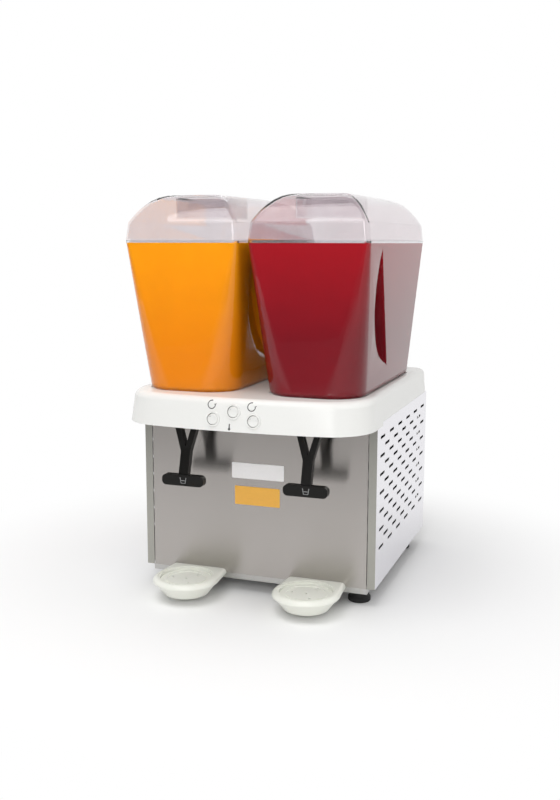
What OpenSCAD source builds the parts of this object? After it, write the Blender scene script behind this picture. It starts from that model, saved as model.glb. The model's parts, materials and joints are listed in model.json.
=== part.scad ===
// Refrigerated juice dispenser with two bowls, two push taps and two drip trays.
// Millimetres. X to the right seen from the front, Y to the rear, Z up from the floor.

/* [Cabinet] */
// Width over the side panels
body_w = 400; // [390:2:430]
// Depth from the front panel's face to the rear panel's face
body_d = 382; // [374:2:420]
// Height of the steel panels
panel_h = 261; // [255:1:310]
// Thickness of the sheet steel
sheet_t = 1.2; // [0.8:0.1:1.6]
// Width of the side panels' folded front and rear flanges
flange_w = 13; // [11:0.5:18]
// Gap between the front or rear panel and the flanges beside it
panel_gap = 1.2; // [0.6:0.1:2]
// Width of the panels' inner returns
return_w = 14; // [8:0.5:20]
// Height of the base pan below the panels
pan_h = 9; // [8:0.5:16]
// Height of a foot
foot_h = 22.5; // [16:0.5:40]
// Diameter of a foot at the floor
foot_d = 37; // [30:1:44]
// Distance of a foot's axis from the outside of the side panel
foot_inset = 34; // [30:1:60]
// Distance of the front feet's axis behind the front panel
foot_front = 34; // [26:1:60]
// Distance of the rear feet's axis ahead of the rear panel
foot_rear = 50; // [26:1:70]

/* [Vents] */
// Length of a vent slot
slot_l = 30; // [20:1:36]
// Height of a vent slot
slot_h = 4.5; // [3:0.5:8]
// Distance between slots in one row of a side panel
slot_pitch = 62; // [56:1:64]
// Distance between the main rows
row_pitch = 30; // [24:1:32]
// Slots in a main row of a side panel
slot_cols = 6; // [3:1:6]
// Main rows of a side panel
slot_rows = 7; // [3:1:7]
// Height of the lowest row above the panel's lower edge
vent_low = 62; // [40:1:70]
// Distance of the first slots' centres behind the front panel
vent_front = 36; // [34:1:40]
// Slots in a row of the rear panel
rear_cols = 3; // [2:1:4]
// Rows of the rear panel
rear_rows = 8; // [3:1:10]

/* [Hood] */
// Height of the hood
hood_h = 49.5; // [48:0.5:60]
// Reach of the hood in front of the front panel
hood_overhang = 101; // [99:0.5:103]
// Wall of the hood
hood_wall = 3; // [2.5:0.5:4]
// Thickness of the deck
deck_t = 5.5; // [5:0.5:7]
// Depth of the bowls' seats in the deck
seat_depth = 2.5; // [1.5:0.5:3]
// Radius of the hood's front corners
hood_corner_r = 60; // [40:1:70]
// Radius of the hood's rear corners
hood_rear_r = 12; // [6:1:20]
// How far the front bows out from its ends to its middle
hood_bow = 19; // [8:1:24]
// How far the front leans out from top to bottom
front_lean = 9; // [4:0.5:10]
// How far each side leans out from top to bottom
side_lean = 4; // [1:0.5:6]
// Radius of the hood's top edge
hood_edge_r = 10; // [6:0.5:12]
// How far the front moulding stands proud of the side skirts
fascia_step = 3; // [1:0.5:3]
// How far the front moulding wraps back past the front panel
fascia_wrap = 24; // [10:1:50]
// How much higher the side and rear skirts end than the front moulding
skirt_cut = 4; // [1:0.5:6]

/* [Bowls] */
// How much further apart the bowls' centres are than half the cabinet's width
bowl_spread = 6; // [2:0.5:10]
// Gap between the two bowls' rims
rim_gap = 15; // [10:0.5:22]
// How much narrower a bowl is at its base than at its rim
bowl_taper = 34; // [28:1:40]
// Depth of a bowl at its rim
bowl_top_d = 392; // [380:1:396]
// Depth of a bowl at its base
bowl_base_d = 372; // [362:1:376]
// Height of a bowl
bowl_h = 238.5; // [225:0.5:260]
// Reach of a bowl's base in front of the front panel
bowl_reach = 52; // [48:0.5:56]
// Wall of a bowl
bowl_wall = 3; // [2.5:0.5:4]
// Floor of a bowl
bowl_floor = 3.5; // [3:0.5:5]
// Radius of a bowl's corners at the rim
bowl_top_r = 9; // [6:0.5:20]
// Radius of a bowl's front corners at the base
bowl_front_r = 54; // [40:1:60]
// Radius of a bowl's rear corners at the base
bowl_rear_r = 36; // [28:1:50]
// Radius of a bowl's bottom edge
bowl_edge_r = 9; // [6:0.5:11]
// Length of the straight edge of the hand grip scooped out of a bowl's side
grip_l = 217; // [170:1:224]
// How far the hand grip curves ahead of its straight edge
grip_reach = 63; // [40:1:66]
// Depth of the hand grip at the middle of its straight edge
grip_depth = 18.5; // [10:0.5:20]
// Height of the straight edge's middle above the bowl's base
grip_z = 131; // [124:1:134]
// Distance of the straight edge's middle behind the front panel
grip_y = 71; // [60:1:84]
// Slant of the straight edge from the upright
grip_slant = 27.5; // [20:0.5:32]

/* [Lids] */
// Height of a lid's upright skirt
lid_skirt_h = 27.5; // [20:0.5:34]
// Rise of a lid from its skirt to its flat top
lid_rise = 43.5; // [36:0.5:50]
// Width of the shoulder between skirt and flat top
lid_shoulder = 55; // [46:1:60]
// How steeply the shoulder starts to rise
lid_round = 2.2; // [1.6:0.05:2.6]
// Draft of the skirt
lid_draft = 3; // [1:0.5:5]
// Wall of a lid
lid_wall = 2.5; // [2:0.5:3]
// Depth of the lip that drops into the bowl
lip_h = 6; // [4:0.5:10]
// Width of the finger pocket in a lid's top
pocket_w = 97; // [80:1:104]
// Length of the finger pocket
pocket_l = 86; // [76:1:110]
// Distance of the pocket's front wall behind the front panel
pocket_y = 23; // [16:1:40]
// Depth of the finger pocket
pocket_depth = 34; // [28:0.5:38]
// Radius of the finger pocket's corners
pocket_r = 10; // [4:0.5:16]
// Diameter of the grip bar across the pocket
bar_d = 16; // [12:0.5:20]

/* [Cooling and stirring] */
// Diameter of an evaporator
evap_d = 96; // [84:1:100]
// Height of an evaporator above the bowl's seat
evap_h = 58; // [46:1:70]
// Wall of an evaporator
evap_wall = 1.5; // [1:0.1:2]
// Radius of an evaporator's top edge
evap_r = 12; // [6:0.5:16]
// Width of an evaporator's flange under the deck
evap_flange = 12; // [8:1:16]
// Thickness of the rubber between bowl and evaporator
gasket_t = 4; // [3:0.5:6]
// Diameter of a stirrer
stirrer_d = 84; // [60:1:90]
// Height of a stirrer
stirrer_h = 22; // [16:1:28]
// Vanes on a stirrer
stirrer_vanes = 4; // [3:1:6]
// Diameter of the pin that a stirrer turns on
stirrer_pin_d = 6; // [5:0.5:8]
// Diameter of a drive magnet
magnet_d = 60; // [40:1:64]
// Thickness of a drive magnet
magnet_t = 8; // [6:0.5:10]
// Diameter of a stirrer motor
motor_d = 62; // [50:1:70]
// Height of a stirrer motor
motor_h = 40; // [30:1:50]
// Thickness of the insulation under the deck
foam_t = 30; // [20:1:40]
// Gap between the insulation and the panels' returns
foam_gap = 2; // [1:0.5:4]
// Diameter of the compressor's shell
comp_d = 140; // [120:1:150]
// Height of the compressor's shell
comp_h = 150; // [120:1:165]
// Reach of the compressor's legs beyond its shell
leg_reach = 18; // [14:1:24]
// Diameter of a rubber grommet under the compressor
grommet_d = 20; // [16:1:24]
// Diameter of the fan's blades
fan_d = 176; // [140:1:180]
// Blades of the fan
fan_blades = 5; // [3:1:7]
// Diameter of the fan's hub
hub_d = 38; // [30:1:44]
// Length of the fan's hub
hub_l = 16; // [12:1:18]
// Diameter of the fan's shaft
shaft_d = 6; // [5:0.5:8]
// Diameter of the fan's motor
fan_motor_d = 74; // [60:1:80]
// Length of the fan's motor
fan_motor_l = 50; // [40:1:60]
// Width of the fan motor's strut
strut_w = 16; // [12:1:20]
// Thickness of the fan motor's strut
strut_t = 8; // [6:0.5:10]
// Cooling fins of the condenser
fin_count = 18; // [8:1:24]

/* [Taps] */
// Outside diameter of a tap's barrel
barrel_d = 18; // [17:0.5:19]
// Bore of a tap's barrel
barrel_bore = 13; // [12:0.5:13.5]
// Depth of the barrel's axis below the deck
tap_drop = 19.5; // [19:0.5:22]
// Reach of the barrel in front of the front panel
barrel_reach = 80; // [78:0.5:82]
// Distance of the bowl's outlet in front of the front panel
outlet_reach = 33; // [31:0.5:34]
// Diameter of the bowl's outlet pipe
outlet_d = 12; // [10:0.5:13]
// Distance of the nozzle in front of the front panel
nozzle_reach = 69; // [66:0.5:70]
// Outside diameter of the nozzle
nozzle_d = 15; // [13:0.5:16]
// Distance of the lever's pivot in front of the front panel
pivot_reach = 41; // [40:0.5:44]
// Depth of the lever's pivot below the barrel's axis
pivot_drop = 18; // [17.5:0.5:20]
// Diameter of the lever's pin
pin_d = 5; // [4:0.5:6]
// Clear width of the lever's fork
fork_gap = 20; // [20:0.5:22]
// Width of an arm of the fork
fork_arm = 9.5; // [7:0.5:12]
// Depth of the lever from front to back
lever_t = 12; // [8:0.5:14]
// Depth of the fork's crotch below the pivot
crotch_drop = 47; // [40:1:56]
// Width of the lever's stem
stem_w = 16; // [12:0.5:20]
// Width of the lever's paddle
paddle_w = 72; // [60:1:84]
// Height of the paddle
paddle_h = 17.5; // [14:0.5:24]
// Thickness of the paddle
paddle_t = 12; // [10:0.5:16]
// Depth of the paddle's middle below the pivot
paddle_drop = 100; // [90:1:110]
// How far the paddle's middle stands ahead of the pivot
paddle_lead = 16; // [8:0.5:18]
// Turns of a tap's spring
spring_turns = 5; // [4:1:6]
// Wire of a tap's spring
spring_wire = 1.2; // [0.8:0.1:1.5]

/* [Drip trays] */
// Radius of a drip tray's rim
tray_r = 54; // [50:0.5:56]
// Width of the tray's straight back edge
tray_back_w = 98; // [90:1:100]
// Height of the tray's rim above the panels' lower edge
tray_z = 6.5; // [6:0.5:12]
// Height of a drip tray
tray_h = 28; // [20:0.5:32]
// Height of the tray's rolled rim
tray_rim = 8.5; // [7:0.5:10]
// Radius of the roll along the rim's outer edge
roll_r = 7; // [4:0.5:8]
// Wall of the tray's cup
tray_wall = 2.5; // [2:0.5:3]
// Radius of the cup under the rim
cup_r = 51; // [47:0.5:53]
// Radius of the cup's foot
cup_foot_r = 36; // [28:0.5:40]
// Diameter of the drip grid
grid_d = 84; // [76:1:86]
// Depth of the drip grid's face below the tray's rim
grid_sink = 5; // [4:0.5:8]
// Thickness of the drip grid
grid_t = 2.5; // [2:0.5:3]
// Holes in the drip grid's ring
grid_holes = 3; // [3:1:12]
// Diameter of a drain hole
grid_hole_d = 4.5; // [4:0.5:7]
// Width of a tray's hook
hook_w = 12; // [8:1:16]
// Distance between the two hooks of a tray
hook_pitch = 60; // [50:1:70]
// How far a tray lifts to come off its hooks
tray_lift = 2; // [1.6:0.1:2.4]

/* [Switches] */
// Diameter of a rocker
rocker_d = 18; // [16:0.5:20]
// Width of the bezel round a rocker
bezel_w = 2; // [1.5:0.5:3]
// Distance between two neighbouring switches
switch_pitch = 33; // [30:0.5:38]
// Height of the outer switches above the hood's lower edge
switch_z = 17.5; // [16:0.5:18]
// How much higher the middle switch sits
switch_step = 12.5; // [4:0.5:13]
// Depth of a switch's body
switch_depth = 18; // [14:1:20]
// Tilt of a rocker to either side
rocker_tilt = 8; // [4:1:9]

/* [Fits] */
// Gap beside a piece that lifts off
lift_gap = 0.4; // [0.3:0.05:0.8]
// Gap between a lid's lip and the inside of the bowl
lip_gap = 1; // [0.8:0.1:2]
// Gap at a piece that rests beside a moving one
rest_gap = 0.3; // [0.2:0.05:0.4]
// Radial clearance of a turning fit
run_gap = 0.05; // [0.02:0.01:0.09]
// Radial clearance of a fixed fit
fix_gap = 0.02; // [0.01:0.01:0.05]

/* [Hidden] */
$fn = 48;
corner_n = 8;
front_n = 16;
vault_n = 9;
thin = 0.01;
cut = 1;

// Heights from the floor up
pan_z = foot_h;
panel_z = pan_z + pan_h;
hood_z = panel_z + panel_h;
skirt_low = hood_z + skirt_cut;
hood_top = hood_z + hood_h;
deck_z = hood_top - deck_t;
seat_z = hood_top - seat_depth;
rim_z = seat_z + bowl_h;
skirt_z = rim_z + lid_skirt_h;
lid_top = skirt_z + lid_rise;

// Depths: the tray's front and the gland's back lie equally far from the origin
gland_proud = 3;
tray_reach = 2 * tray_r - 1;
rear_y = (body_d + tray_reach - gland_proud) / 2;
front_y = rear_y - body_d;
function ahead(reach) = front_y - reach;
function behind(depth) = front_y + depth;

// Widths of the sheet metal
side_x = body_w / 2;
inner_x = side_x - flange_w;
panel_x = inner_x - panel_gap;
pan_t = 1.5;
pan_floor = pan_z + pan_t;

// Bowl sizes and places
bowl_pitch = body_w / 2 + bowl_spread;
bowl_top_w = bowl_pitch - rim_gap;
bowl_base_w = bowl_top_w - bowl_taper;
bowl_flare = (bowl_top_d - bowl_base_d) / 2;
bowl_y0 = ahead(bowl_reach);
bowl_mid_y = bowl_y0 + bowl_base_d / 2;
evap_top = seat_z + evap_h;
outlet_y = ahead(outlet_reach);

// Tap places
barrel_z = deck_z - tap_drop;
outlet_l = seat_z - barrel_z - barrel_d / 2 - 1;
seal_wire = 0.9;
seal_r = outlet_d / 2 + fix_gap + 2 * seal_wire;
pivot_y = ahead(pivot_reach);
pivot_z = barrel_z - pivot_drop;
barrel_end = ahead(24);
seat_front = ahead(44);
seat_t = 3;
rod_d = 4;
button_d = 14;
button_t = 2;
button_back = ahead(16);
crossbar_d = 7;
crossbar_y = button_back + rest_gap + crossbar_d / 2;
cap_t = 4;
cap_plug = 3;
head_t = 6;
seal_t = 2;
valve_gap = 0.1;
head_r = barrel_bore / 2 - rest_gap;
head_back = seat_front - valve_gap - seal_t;
spring_r = head_r - spring_wire;
spring_y0 = ahead(barrel_reach) + cap_plug;
spring_y1 = head_back - head_t;

// Drip tray places
tray_top = panel_z + tray_z;
tray_y = ahead(tray_r - 1);
tray_bottom = tray_top - tray_h;
grid_seat = tray_top - grid_sink - grid_t;
hook_t = 2;
hook_drop = 1.3;
hook_z = panel_z + sheet_t + rest_gap + hook_drop;
hook_slot_h = hook_t + tray_lift + 2 * rest_gap;

// Cooling places
comp_in = 125;
comp_back = 118;
comp_x = -side_x + comp_in;
comp_y = rear_y - comp_back;
grommet_h = 12;
cond_in = 68;
cond_back = 150;
cond_lift = 12;
cond_x = side_x - cond_in;
cond_t = 40;
cond_l = 220;
cond_h = 196;
cond_y = rear_y - cond_back;
cond_z = pan_floor + cond_lift;
shroud_gap = 12;
fan_gap = 14;
motor_gap = 14;
fan_z = cond_z + cond_h / 2;
shroud_x = cond_x - shroud_gap;
fan_x = shroud_x - fan_gap;
motor_front = fan_x - hub_l / 2 - motor_gap;

// Colours
steel = [0.74, 0.73, 0.72];
white = [0.95, 0.95, 0.93];
clear = [0.85, 0.88, 0.9, 0.4];
black = [0.12, 0.12, 0.11];
rubber = [0.08, 0.08, 0.08];
bone = [0.92, 0.92, 0.87];
copper = [0.8, 0.48, 0.3];
grey = [0.45, 0.46, 0.48];

function mix(a, b, t) = a + (b - a) * t;
function bowl_x(side) = side * bowl_pitch / 2;

// A quarter circle of points
function quarter(x, y, r, a) =
  [for (i = [0 : corner_n]) [x + r * cos(a + 90 * i / corner_n), y + r * sin(a + 90 * i / corner_n)]];

// A rounded rectangle with its own front and rear corner radii, its front edge in n stretches
function round_box(x, y0, y1, rf, rb, n = 1) = concat(
  quarter(x - rb, y1 - rb, rb, 0), quarter(-x + rb, y1 - rb, rb, 90),
  quarter(-x + rf, y0 + rf, rf, 180),
  [for (i = [1 : 1 : n - 1]) [(x - rf) * (2 * i / n - 1), y0]],
  quarter(x - rf, y0 + rf, rf, 270));

// A thin layer of a loft
module layer(points, z) {
  translate([0, 0, z]) linear_extrude(thin) polygon(points);
}

// A cylinder along X or along Y, centred on its middle
module along_x(r, l) { rotate([0, 90, 0]) cylinder(r = r, h = l, center = true); }
module along_y(r, l) { rotate([90, 0, 0]) cylinder(r = r, h = l, center = true); }

// A round-ended slot that cuts along Y
module slot_y(l, h, depth) {
  for (side = [-1, 1]) translate([side * (l - h) / 2, 0, 0]) along_y(h / 2, depth);
  cube([l - h, depth, h], center = true);
}

// Sheet metal

module base_pan() {
  color(steel) difference() {
    translate([-inner_x, front_y, pan_z]) cube([2 * inner_x, body_d, pan_h]);
    translate([-inner_x + pan_t, front_y + pan_t, pan_floor])
      cube([2 * (inner_x - pan_t), body_d - 2 * pan_t, pan_h]);
    for (x = [-1, 1], y = [front_y + foot_front, rear_y - foot_rear])
      translate([x * (side_x - foot_inset), y, pan_z - cut]) cylinder(d = 8.4, h = pan_t + 2 * cut);
  }
}

module hook_slots() {
  for (side = [-1, 1], end = [-1, 1])
    translate([bowl_x(side) + end * hook_pitch / 2, front_y, hook_z - rest_gap + hook_slot_h / 2])
      cube([hook_w + 2 * lift_gap, 4 * sheet_t, hook_slot_h], center = true);
}

// A flat sheet with returns at its sides and foot, whose face looks towards -Y
module folded_sheet(x, z0, z1) {
  translate([-x, 0, z0]) cube([2 * x, sheet_t, z1 - z0]);
  for (side = [0, 1]) translate([side ? x - sheet_t : -x, 0, z0]) cube([sheet_t, return_w, z1 - z0]);
  translate([-x, 0, z0]) cube([2 * x, return_w, sheet_t]);
}

module front_panel() {
  color(steel) difference() {
    translate([0, front_y, 0]) folded_sheet(panel_x, panel_z, deck_z);
    hook_slots();
  }
}

module side_slots() {
  for (row = [0 : 2 * slot_rows - 2], col = [0 : slot_cols - 1 - row % 2])
    translate([side_x, behind(vent_front) + slot_pitch * (col + 0.5 * (row % 2)),
               panel_z + vent_low + row * row_pitch / 2])
      rotate([0, 0, 90]) slot_y(slot_l, slot_h, 6 * sheet_t);
}

module side_panel() {
  side_h = skirt_low - panel_z;
  difference() {
    union() {
      translate([side_x - sheet_t, front_y, panel_z]) cube([sheet_t, body_d, side_h]);
      for (y = [front_y, rear_y - sheet_t])
        translate([inner_x, y, panel_z]) cube([flange_w, sheet_t, side_h]);
      translate([side_x - flange_w - return_w, front_y + return_w + 1, panel_z])
        cube([flange_w + return_w, body_d - 2 * return_w - 2, sheet_t]);
      translate([side_x - flange_w, front_y, skirt_low - sheet_t]) cube([flange_w, body_d, sheet_t]);
    }
    side_slots();
  }
}

module left_side_panel() { color(steel) mirror([1, 0, 0]) side_panel(); }
module right_side_panel() { color(steel) side_panel(); }

gland_x = side_x - 60;
gland_z = panel_z + 36;
gland_hole_d = 16;
thermostat_x = -side_x + 60;
thermostat_z = hood_z - 60;
spindle_d = 6;

module rear_panel() {
  color(steel) difference() {
    translate([0, rear_y, 0]) mirror([0, 1, 0]) folded_sheet(panel_x, panel_z, skirt_low);
    for (row = [0 : rear_rows - 1], col = [0 : rear_cols - 1])
      translate([(col - (rear_cols - 1) / 2) * slot_pitch, rear_y,
                 panel_z + vent_low + row * row_pitch * 0.7]) slot_y(slot_l * 1.4, slot_h, 6 * sheet_t);
    translate([gland_x, rear_y, gland_z]) along_y(gland_hole_d / 2, 6 * sheet_t);
    translate([thermostat_x, rear_y, thermostat_z]) along_y(spindle_d / 2 + 2, 6 * sheet_t);
  }
}

module feet() {
  r = foot_d / 2;
  color(rubber) for (x = [-1, 1], y = [front_y + foot_front, rear_y - foot_rear])
    translate([x * (side_x - foot_inset), y, 0]) rotate_extrude()
      polygon([[0, 3], [6, 3], [6, 0], [r - 1.5, 0], [r, 1.5], [r, foot_h * 0.32], [r - 2, foot_h * 0.4],
               [r - 3.5, foot_h], [4, foot_h], [4, foot_h + pan_h - 2], [0, foot_h + pan_h - 2]]);
}

// Hood

// Outline of the hood, drawn in by given amounts at its sides, front and rear
function hood_outline(side_in, front_in, rear_in) =
  let (x = side_x - side_in, y0 = ahead(hood_overhang) + front_in)
  [for (p = round_box(x, y0, rear_y - rear_in, hood_corner_r, hood_rear_r, front_n))
    [p.x, p.y + (p.y < front_y ? hood_bow * pow(p.x / x, 2) : 0)]];

// How far the wall leans in at a height, as a share of the whole lean
function lean_at(z) = (z - hood_z) / hood_h;

module hood_form(out) {
  hull() {
    layer(hood_outline(-out, -out, 0), hood_z);
    for (a = [0 : 22.5 : 90]) {
      z = hood_top - hood_edge_r * (1 - sin(a));
      draw = hood_edge_r * (1 - cos(a));
      side_in = side_lean * lean_at(z) + draw - out;
      front_in = front_lean * lean_at(z) + draw - out;
      layer(hood_outline(side_in, front_in, draw), z - thin);
    }
  }
}

module hood_hollow() {
  t = hood_wall;
  side_in = t + side_lean * lean_at(deck_z);
  front_in = t + front_lean * lean_at(deck_z);
  hull() {
    layer(hood_outline(t, t, t), hood_z - cut);
    layer(hood_outline(side_in, front_in, t), deck_z - thin);
  }
}

// Middle of the fascia's face at a place across and up the front
function fascia_y(x, z) = ahead(hood_overhang + fascia_step) + hood_bow * pow(x / side_x, 2)
  + front_lean * lean_at(z);
fascia_tilt = atan(front_lean / hood_h);

// Places a shape on the fascia, its Z axis along the face's outward normal
module on_fascia(x, z) {
  translate([x, fascia_y(x, z), z])
    rotate([0, 0, atan(2 * hood_bow * x / pow(side_x, 2))]) rotate([90 - fascia_tilt, 0, 0]) children();
}

switch_xs = [-switch_pitch, 0, switch_pitch];
function switch_height(i) = hood_z + switch_z + (i == 1 ? switch_step : 0);
barrel_r = rocker_d / 2 + 1;

module top_hood() {
  color(white) difference() {
    union() {
      hood_form(0);
      intersection() {
        hood_form(fascia_step);
        translate([-body_w, ahead(2 * hood_overhang), hood_z - cut])
          cube([2 * body_w, 2 * hood_overhang + fascia_wrap, hood_h + 2 * cut]);
      }
    }
    hood_hollow();
    translate([-side_x - rest_gap, front_y, hood_z - cut])
      cube([2 * (side_x + rest_gap), 2 * body_d, skirt_cut + cut]);
    for (side = [-1, 1]) translate([bowl_x(side), 0, 0]) {
      translate([0, 0, seat_z]) linear_extrude(seat_depth + cut)
        polygon(bowl_outline(0, -lift_gap));
      translate([0, bowl_mid_y, deck_z - cut]) cylinder(d = evap_d + 2 * rest_gap, h = deck_t + 2 * cut);
      translate([0, outlet_y, deck_z - cut]) cylinder(r = seal_r + lift_gap, h = deck_t + 2 * cut);
    }
    for (i = [0 : 2]) on_fascia(switch_xs[i], switch_height(i))
      translate([0, 0, -switch_depth]) cylinder(r = barrel_r + fix_gap, h = switch_depth + 2 * cut);
  }
}

module deck_insulation() {
  half_w = panel_x - sheet_t - foam_gap;
  edge_y = return_w + foam_gap;
  color([0.9, 0.87, 0.75]) difference() {
    translate([-half_w, front_y + edge_y, deck_z - foam_t]) cube([2 * half_w, body_d - 2 * edge_y, foam_t]);
    for (side = [-1, 1]) translate([bowl_x(side), bowl_mid_y, deck_z - foam_t - cut])
      cylinder(d = evap_d + 2 * evap_flange + foam_gap, h = foam_t + 2 * cut);
  }
}

// Cooling and stirring in each bowl

// Half section of a round-topped cup turned upside down
function dome_half(r, z0, z1, edge) = concat([[0, z0], [r, z0]],
  [for (i = [0 : corner_n]) let (a = 90 * i / corner_n)
    [r - edge * (1 - cos(a)), z1 - edge * (1 - sin(a))]],
  [[0, z1]]);

module evaporator(side) {
  r = evap_d / 2;
  color(steel) translate([bowl_x(side), bowl_mid_y, 0]) difference() {
    union() {
      rotate_extrude() polygon(dome_half(r, deck_z - 2, evap_top, evap_r));
      translate([0, 0, deck_z - 2]) cylinder(r = r + evap_flange, h = 2);
      translate([0, 0, evap_top - cut]) cylinder(d = stirrer_pin_d, h = 10 + cut);
    }
    rotate_extrude()
      polygon(dome_half(r - evap_wall, deck_z - 2 - cut, evap_top - evap_wall, evap_r - evap_wall));
  }
}

module stirrer_motor(side) {
  plate_z = deck_z - 4;
  color(grey) translate([bowl_x(side), bowl_mid_y, 0]) difference() {
    union() {
      translate([0, 0, plate_z]) cylinder(d = evap_d + 2 * evap_flange - 2, h = 2);
      translate([0, 0, plate_z - motor_h]) cylinder(d = motor_d, h = motor_h);
      translate([0, 0, plate_z]) cylinder(d = 18, h = 8);
    }
    translate([0, 0, plate_z - 12]) cylinder(d = stirrer_pin_d + 2 * run_gap, h = 30);
  }
}

module drive_magnet(side) {
  top = evap_top - evap_wall - 2;
  color(black) translate([bowl_x(side), bowl_mid_y, 0]) {
    translate([0, 0, deck_z - 14]) cylinder(d = stirrer_pin_d, h = top - deck_z + 14);
    translate([0, 0, top - magnet_t]) cylinder(d = magnet_d, h = magnet_t);
    translate([0, 0, top - magnet_t - 6]) cylinder(d = 16, h = 7);
  }
}

module impeller(side) {
  z = evap_top + rest_gap;
  color(white) translate([bowl_x(side), bowl_mid_y, z]) difference() {
    union() {
      cylinder(d = magnet_d, h = 7);
      cylinder(d = 20, h = stirrer_h);
      for (i = [0 : stirrer_vanes - 1]) rotate(360 * i / stirrer_vanes)
        translate([0, -1.5, 4]) intersection() {
          cube([stirrer_d / 2, 3, stirrer_h - 4]);
          translate([0, 1.5, 0]) cylinder(d1 = stirrer_d, d2 = stirrer_d * 0.7, h = stirrer_h);
        }
    }
    translate([0, 0, -cut]) cylinder(d = stirrer_pin_d + 2 * run_gap, h = 12);
  }
}

// Bowls

// Outline of a bowl from its base (0) to its rim (1), drawn in by an amount
function bowl_outline(t, inset) =
  round_box(mix(bowl_base_w, bowl_top_w, t) / 2 - inset, bowl_y0 - t * bowl_flare + inset,
            bowl_y0 + bowl_base_d + t * bowl_flare - inset,
            max(mix(bowl_front_r, bowl_top_r, t) - inset, 1),
            max(mix(bowl_rear_r, bowl_top_r, t) - inset, 1));

// The bowl's tapered form, drawn in all round and raised from the seat
module bowl_form(inset, lift, top) {
  hull() {
    for (a = [0 : 30 : 90])
      layer(bowl_outline(0, inset + (bowl_edge_r - inset) * (1 - sin(a))),
            seat_z + lift + (bowl_edge_r - inset) * (1 - cos(a)));
    layer(bowl_outline(1, inset), rim_z + top - thin);
  }
}

bowl_lean = atan((bowl_top_w - bowl_base_w) / 2 / bowl_h);

// On the wall a grip is a segment of a circle with this radius, whose centre lies behind the straight edge
grip_arc = (pow(grip_l / 2, 2) + pow(grip_reach, 2)) / (2 * grip_reach);
grip_back = grip_arc - grip_reach;
// The ball that hollows it passes through that circle and has its centre this far outside the wall
grip_out = (pow(grip_l / 2, 2) / grip_depth - grip_depth) / 2;
grip_ball = sqrt(pow(grip_arc, 2) + pow(grip_out, 2));

// A ball cut off flat to the rear, which scoops a grip out of the bowl's +X side
module grip_form(grow) {
  span = 2 * (grip_ball + grip_out);
  translate([mix(bowl_base_w, bowl_top_w, grip_z / bowl_h) / 2, behind(grip_y), seat_z + grip_z])
    rotate([0, bowl_lean, 0]) rotate([grip_slant, 0, 0]) intersection() {
      translate([grip_out, grip_back, 0]) sphere(grip_ball + grow, $fn = 180);
      translate([-span / 2, grow - span, -span / 2]) cube(span);
    }
}

module grips(grow) {
  grip_form(grow);
  mirror([1, 0, 0]) grip_form(grow);
}

module bowl(side) {
  color(clear) translate([bowl_x(side), 0, 0]) difference() {
    union() {
      bowl_form(0, 0, 0);
      translate([0, outlet_y, seat_z - outlet_l]) cylinder(d = outlet_d, h = outlet_l + 1);
    }
    difference() {
      bowl_form(bowl_wall, bowl_floor, cut);
      grips(bowl_wall);
    }
    grips(0);
    translate([0, bowl_mid_y, seat_z - cut]) cylinder(d = evap_d + 2 * gasket_t, h = bowl_floor + 2 * cut);
    translate([0, outlet_y, seat_z - outlet_l - cut])
      cylinder(d = outlet_d - 3, h = outlet_l + bowl_floor + 2 * cut);
  }
}

module bowl_gasket(side) {
  r = evap_d / 2;
  color(rubber) translate([bowl_x(side), bowl_mid_y, seat_z]) rotate_extrude() difference() {
    union() {
      translate([r + rest_gap, 0]) square([gasket_t - rest_gap - fix_gap, bowl_floor + 3]);
      translate([r + rest_gap, bowl_floor]) square([gasket_t + 3, 3]);
    }
    translate([r + gasket_t + 3, bowl_floor + 3]) circle(r = 1);
  }
}

module outlet_seal(side) {
  color(rubber) translate([bowl_x(side), outlet_y, seat_z - outlet_l + 4])
    rotate_extrude() translate([outlet_d / 2 + fix_gap + seal_wire, 0]) circle(r = seal_wire, $fn = 24);
}

// Lids

// The lid's vaulted form, drawn in by a wall and starting a little below the rim
module lid_form(t, below) {
  r = max(bowl_top_r - t, 1);
  hull() {
    layer(lid_outline(t, r), rim_z - below);
    for (i = [0 : vault_n]) {
      s = 1 - cos(90 * i / vault_n);
      rise = lid_rise * (1 - pow(1 - s, lid_round));
      layer(lid_outline(t + lid_draft + lid_shoulder * s, r), skirt_z - t + rise - thin);
    }
  }
}

function lid_outline(inset, r) = round_box(bowl_top_w / 2 - inset, bowl_y0 - bowl_flare + inset,
                                           bowl_y0 + bowl_base_d + bowl_flare - inset, r, r);

lip_inset = bowl_wall + lip_gap + lip_h * tan(bowl_lean);

// The finger pocket's outline, drawn in by a wall and raised from a height to above the lid
module pocket_form(t, z) {
  r = max(pocket_r - t, 1);
  translate([0, 0, z]) linear_extrude(lid_top + cut - z)
    polygon(round_box(pocket_w / 2 - t, behind(pocket_y) + t, behind(pocket_y) + pocket_l - t, r, r));
}

module lid(side) {
  floor_z = lid_top - pocket_depth;
  bar_z = lid_top - bar_d / 2 - 2;
  color(clear) translate([bowl_x(side), 0, 0]) {
    difference() {
      union() {
        difference() {
          lid_form(0, 0);
          lid_form(lid_wall, cut);
        }
        intersection() {
          lid_form(0, 0);
          pocket_form(0, floor_z - lid_wall);
        }
        translate([0, 0, rim_z - lip_h]) rim_band(lip_inset, lip_inset + lid_wall, lip_h + lid_wall);
        translate([0, 0, rim_z]) rim_band(lid_wall / 2, lip_inset + lid_wall / 2, lid_wall);
      }
      pocket_form(lid_wall, floor_z);
    }
    translate([0, behind(pocket_y) + pocket_l / 2, bar_z]) along_x(bar_d / 2, pocket_w - lid_wall);
  }
}

// An upright band between two outlines drawn in from the bowl's rim
module rim_band(outer, inner, h) {
  linear_extrude(h) difference() {
    polygon(bowl_outline(1, outer));
    polygon(bowl_outline(1, inner));
  }
}

// Taps

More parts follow.
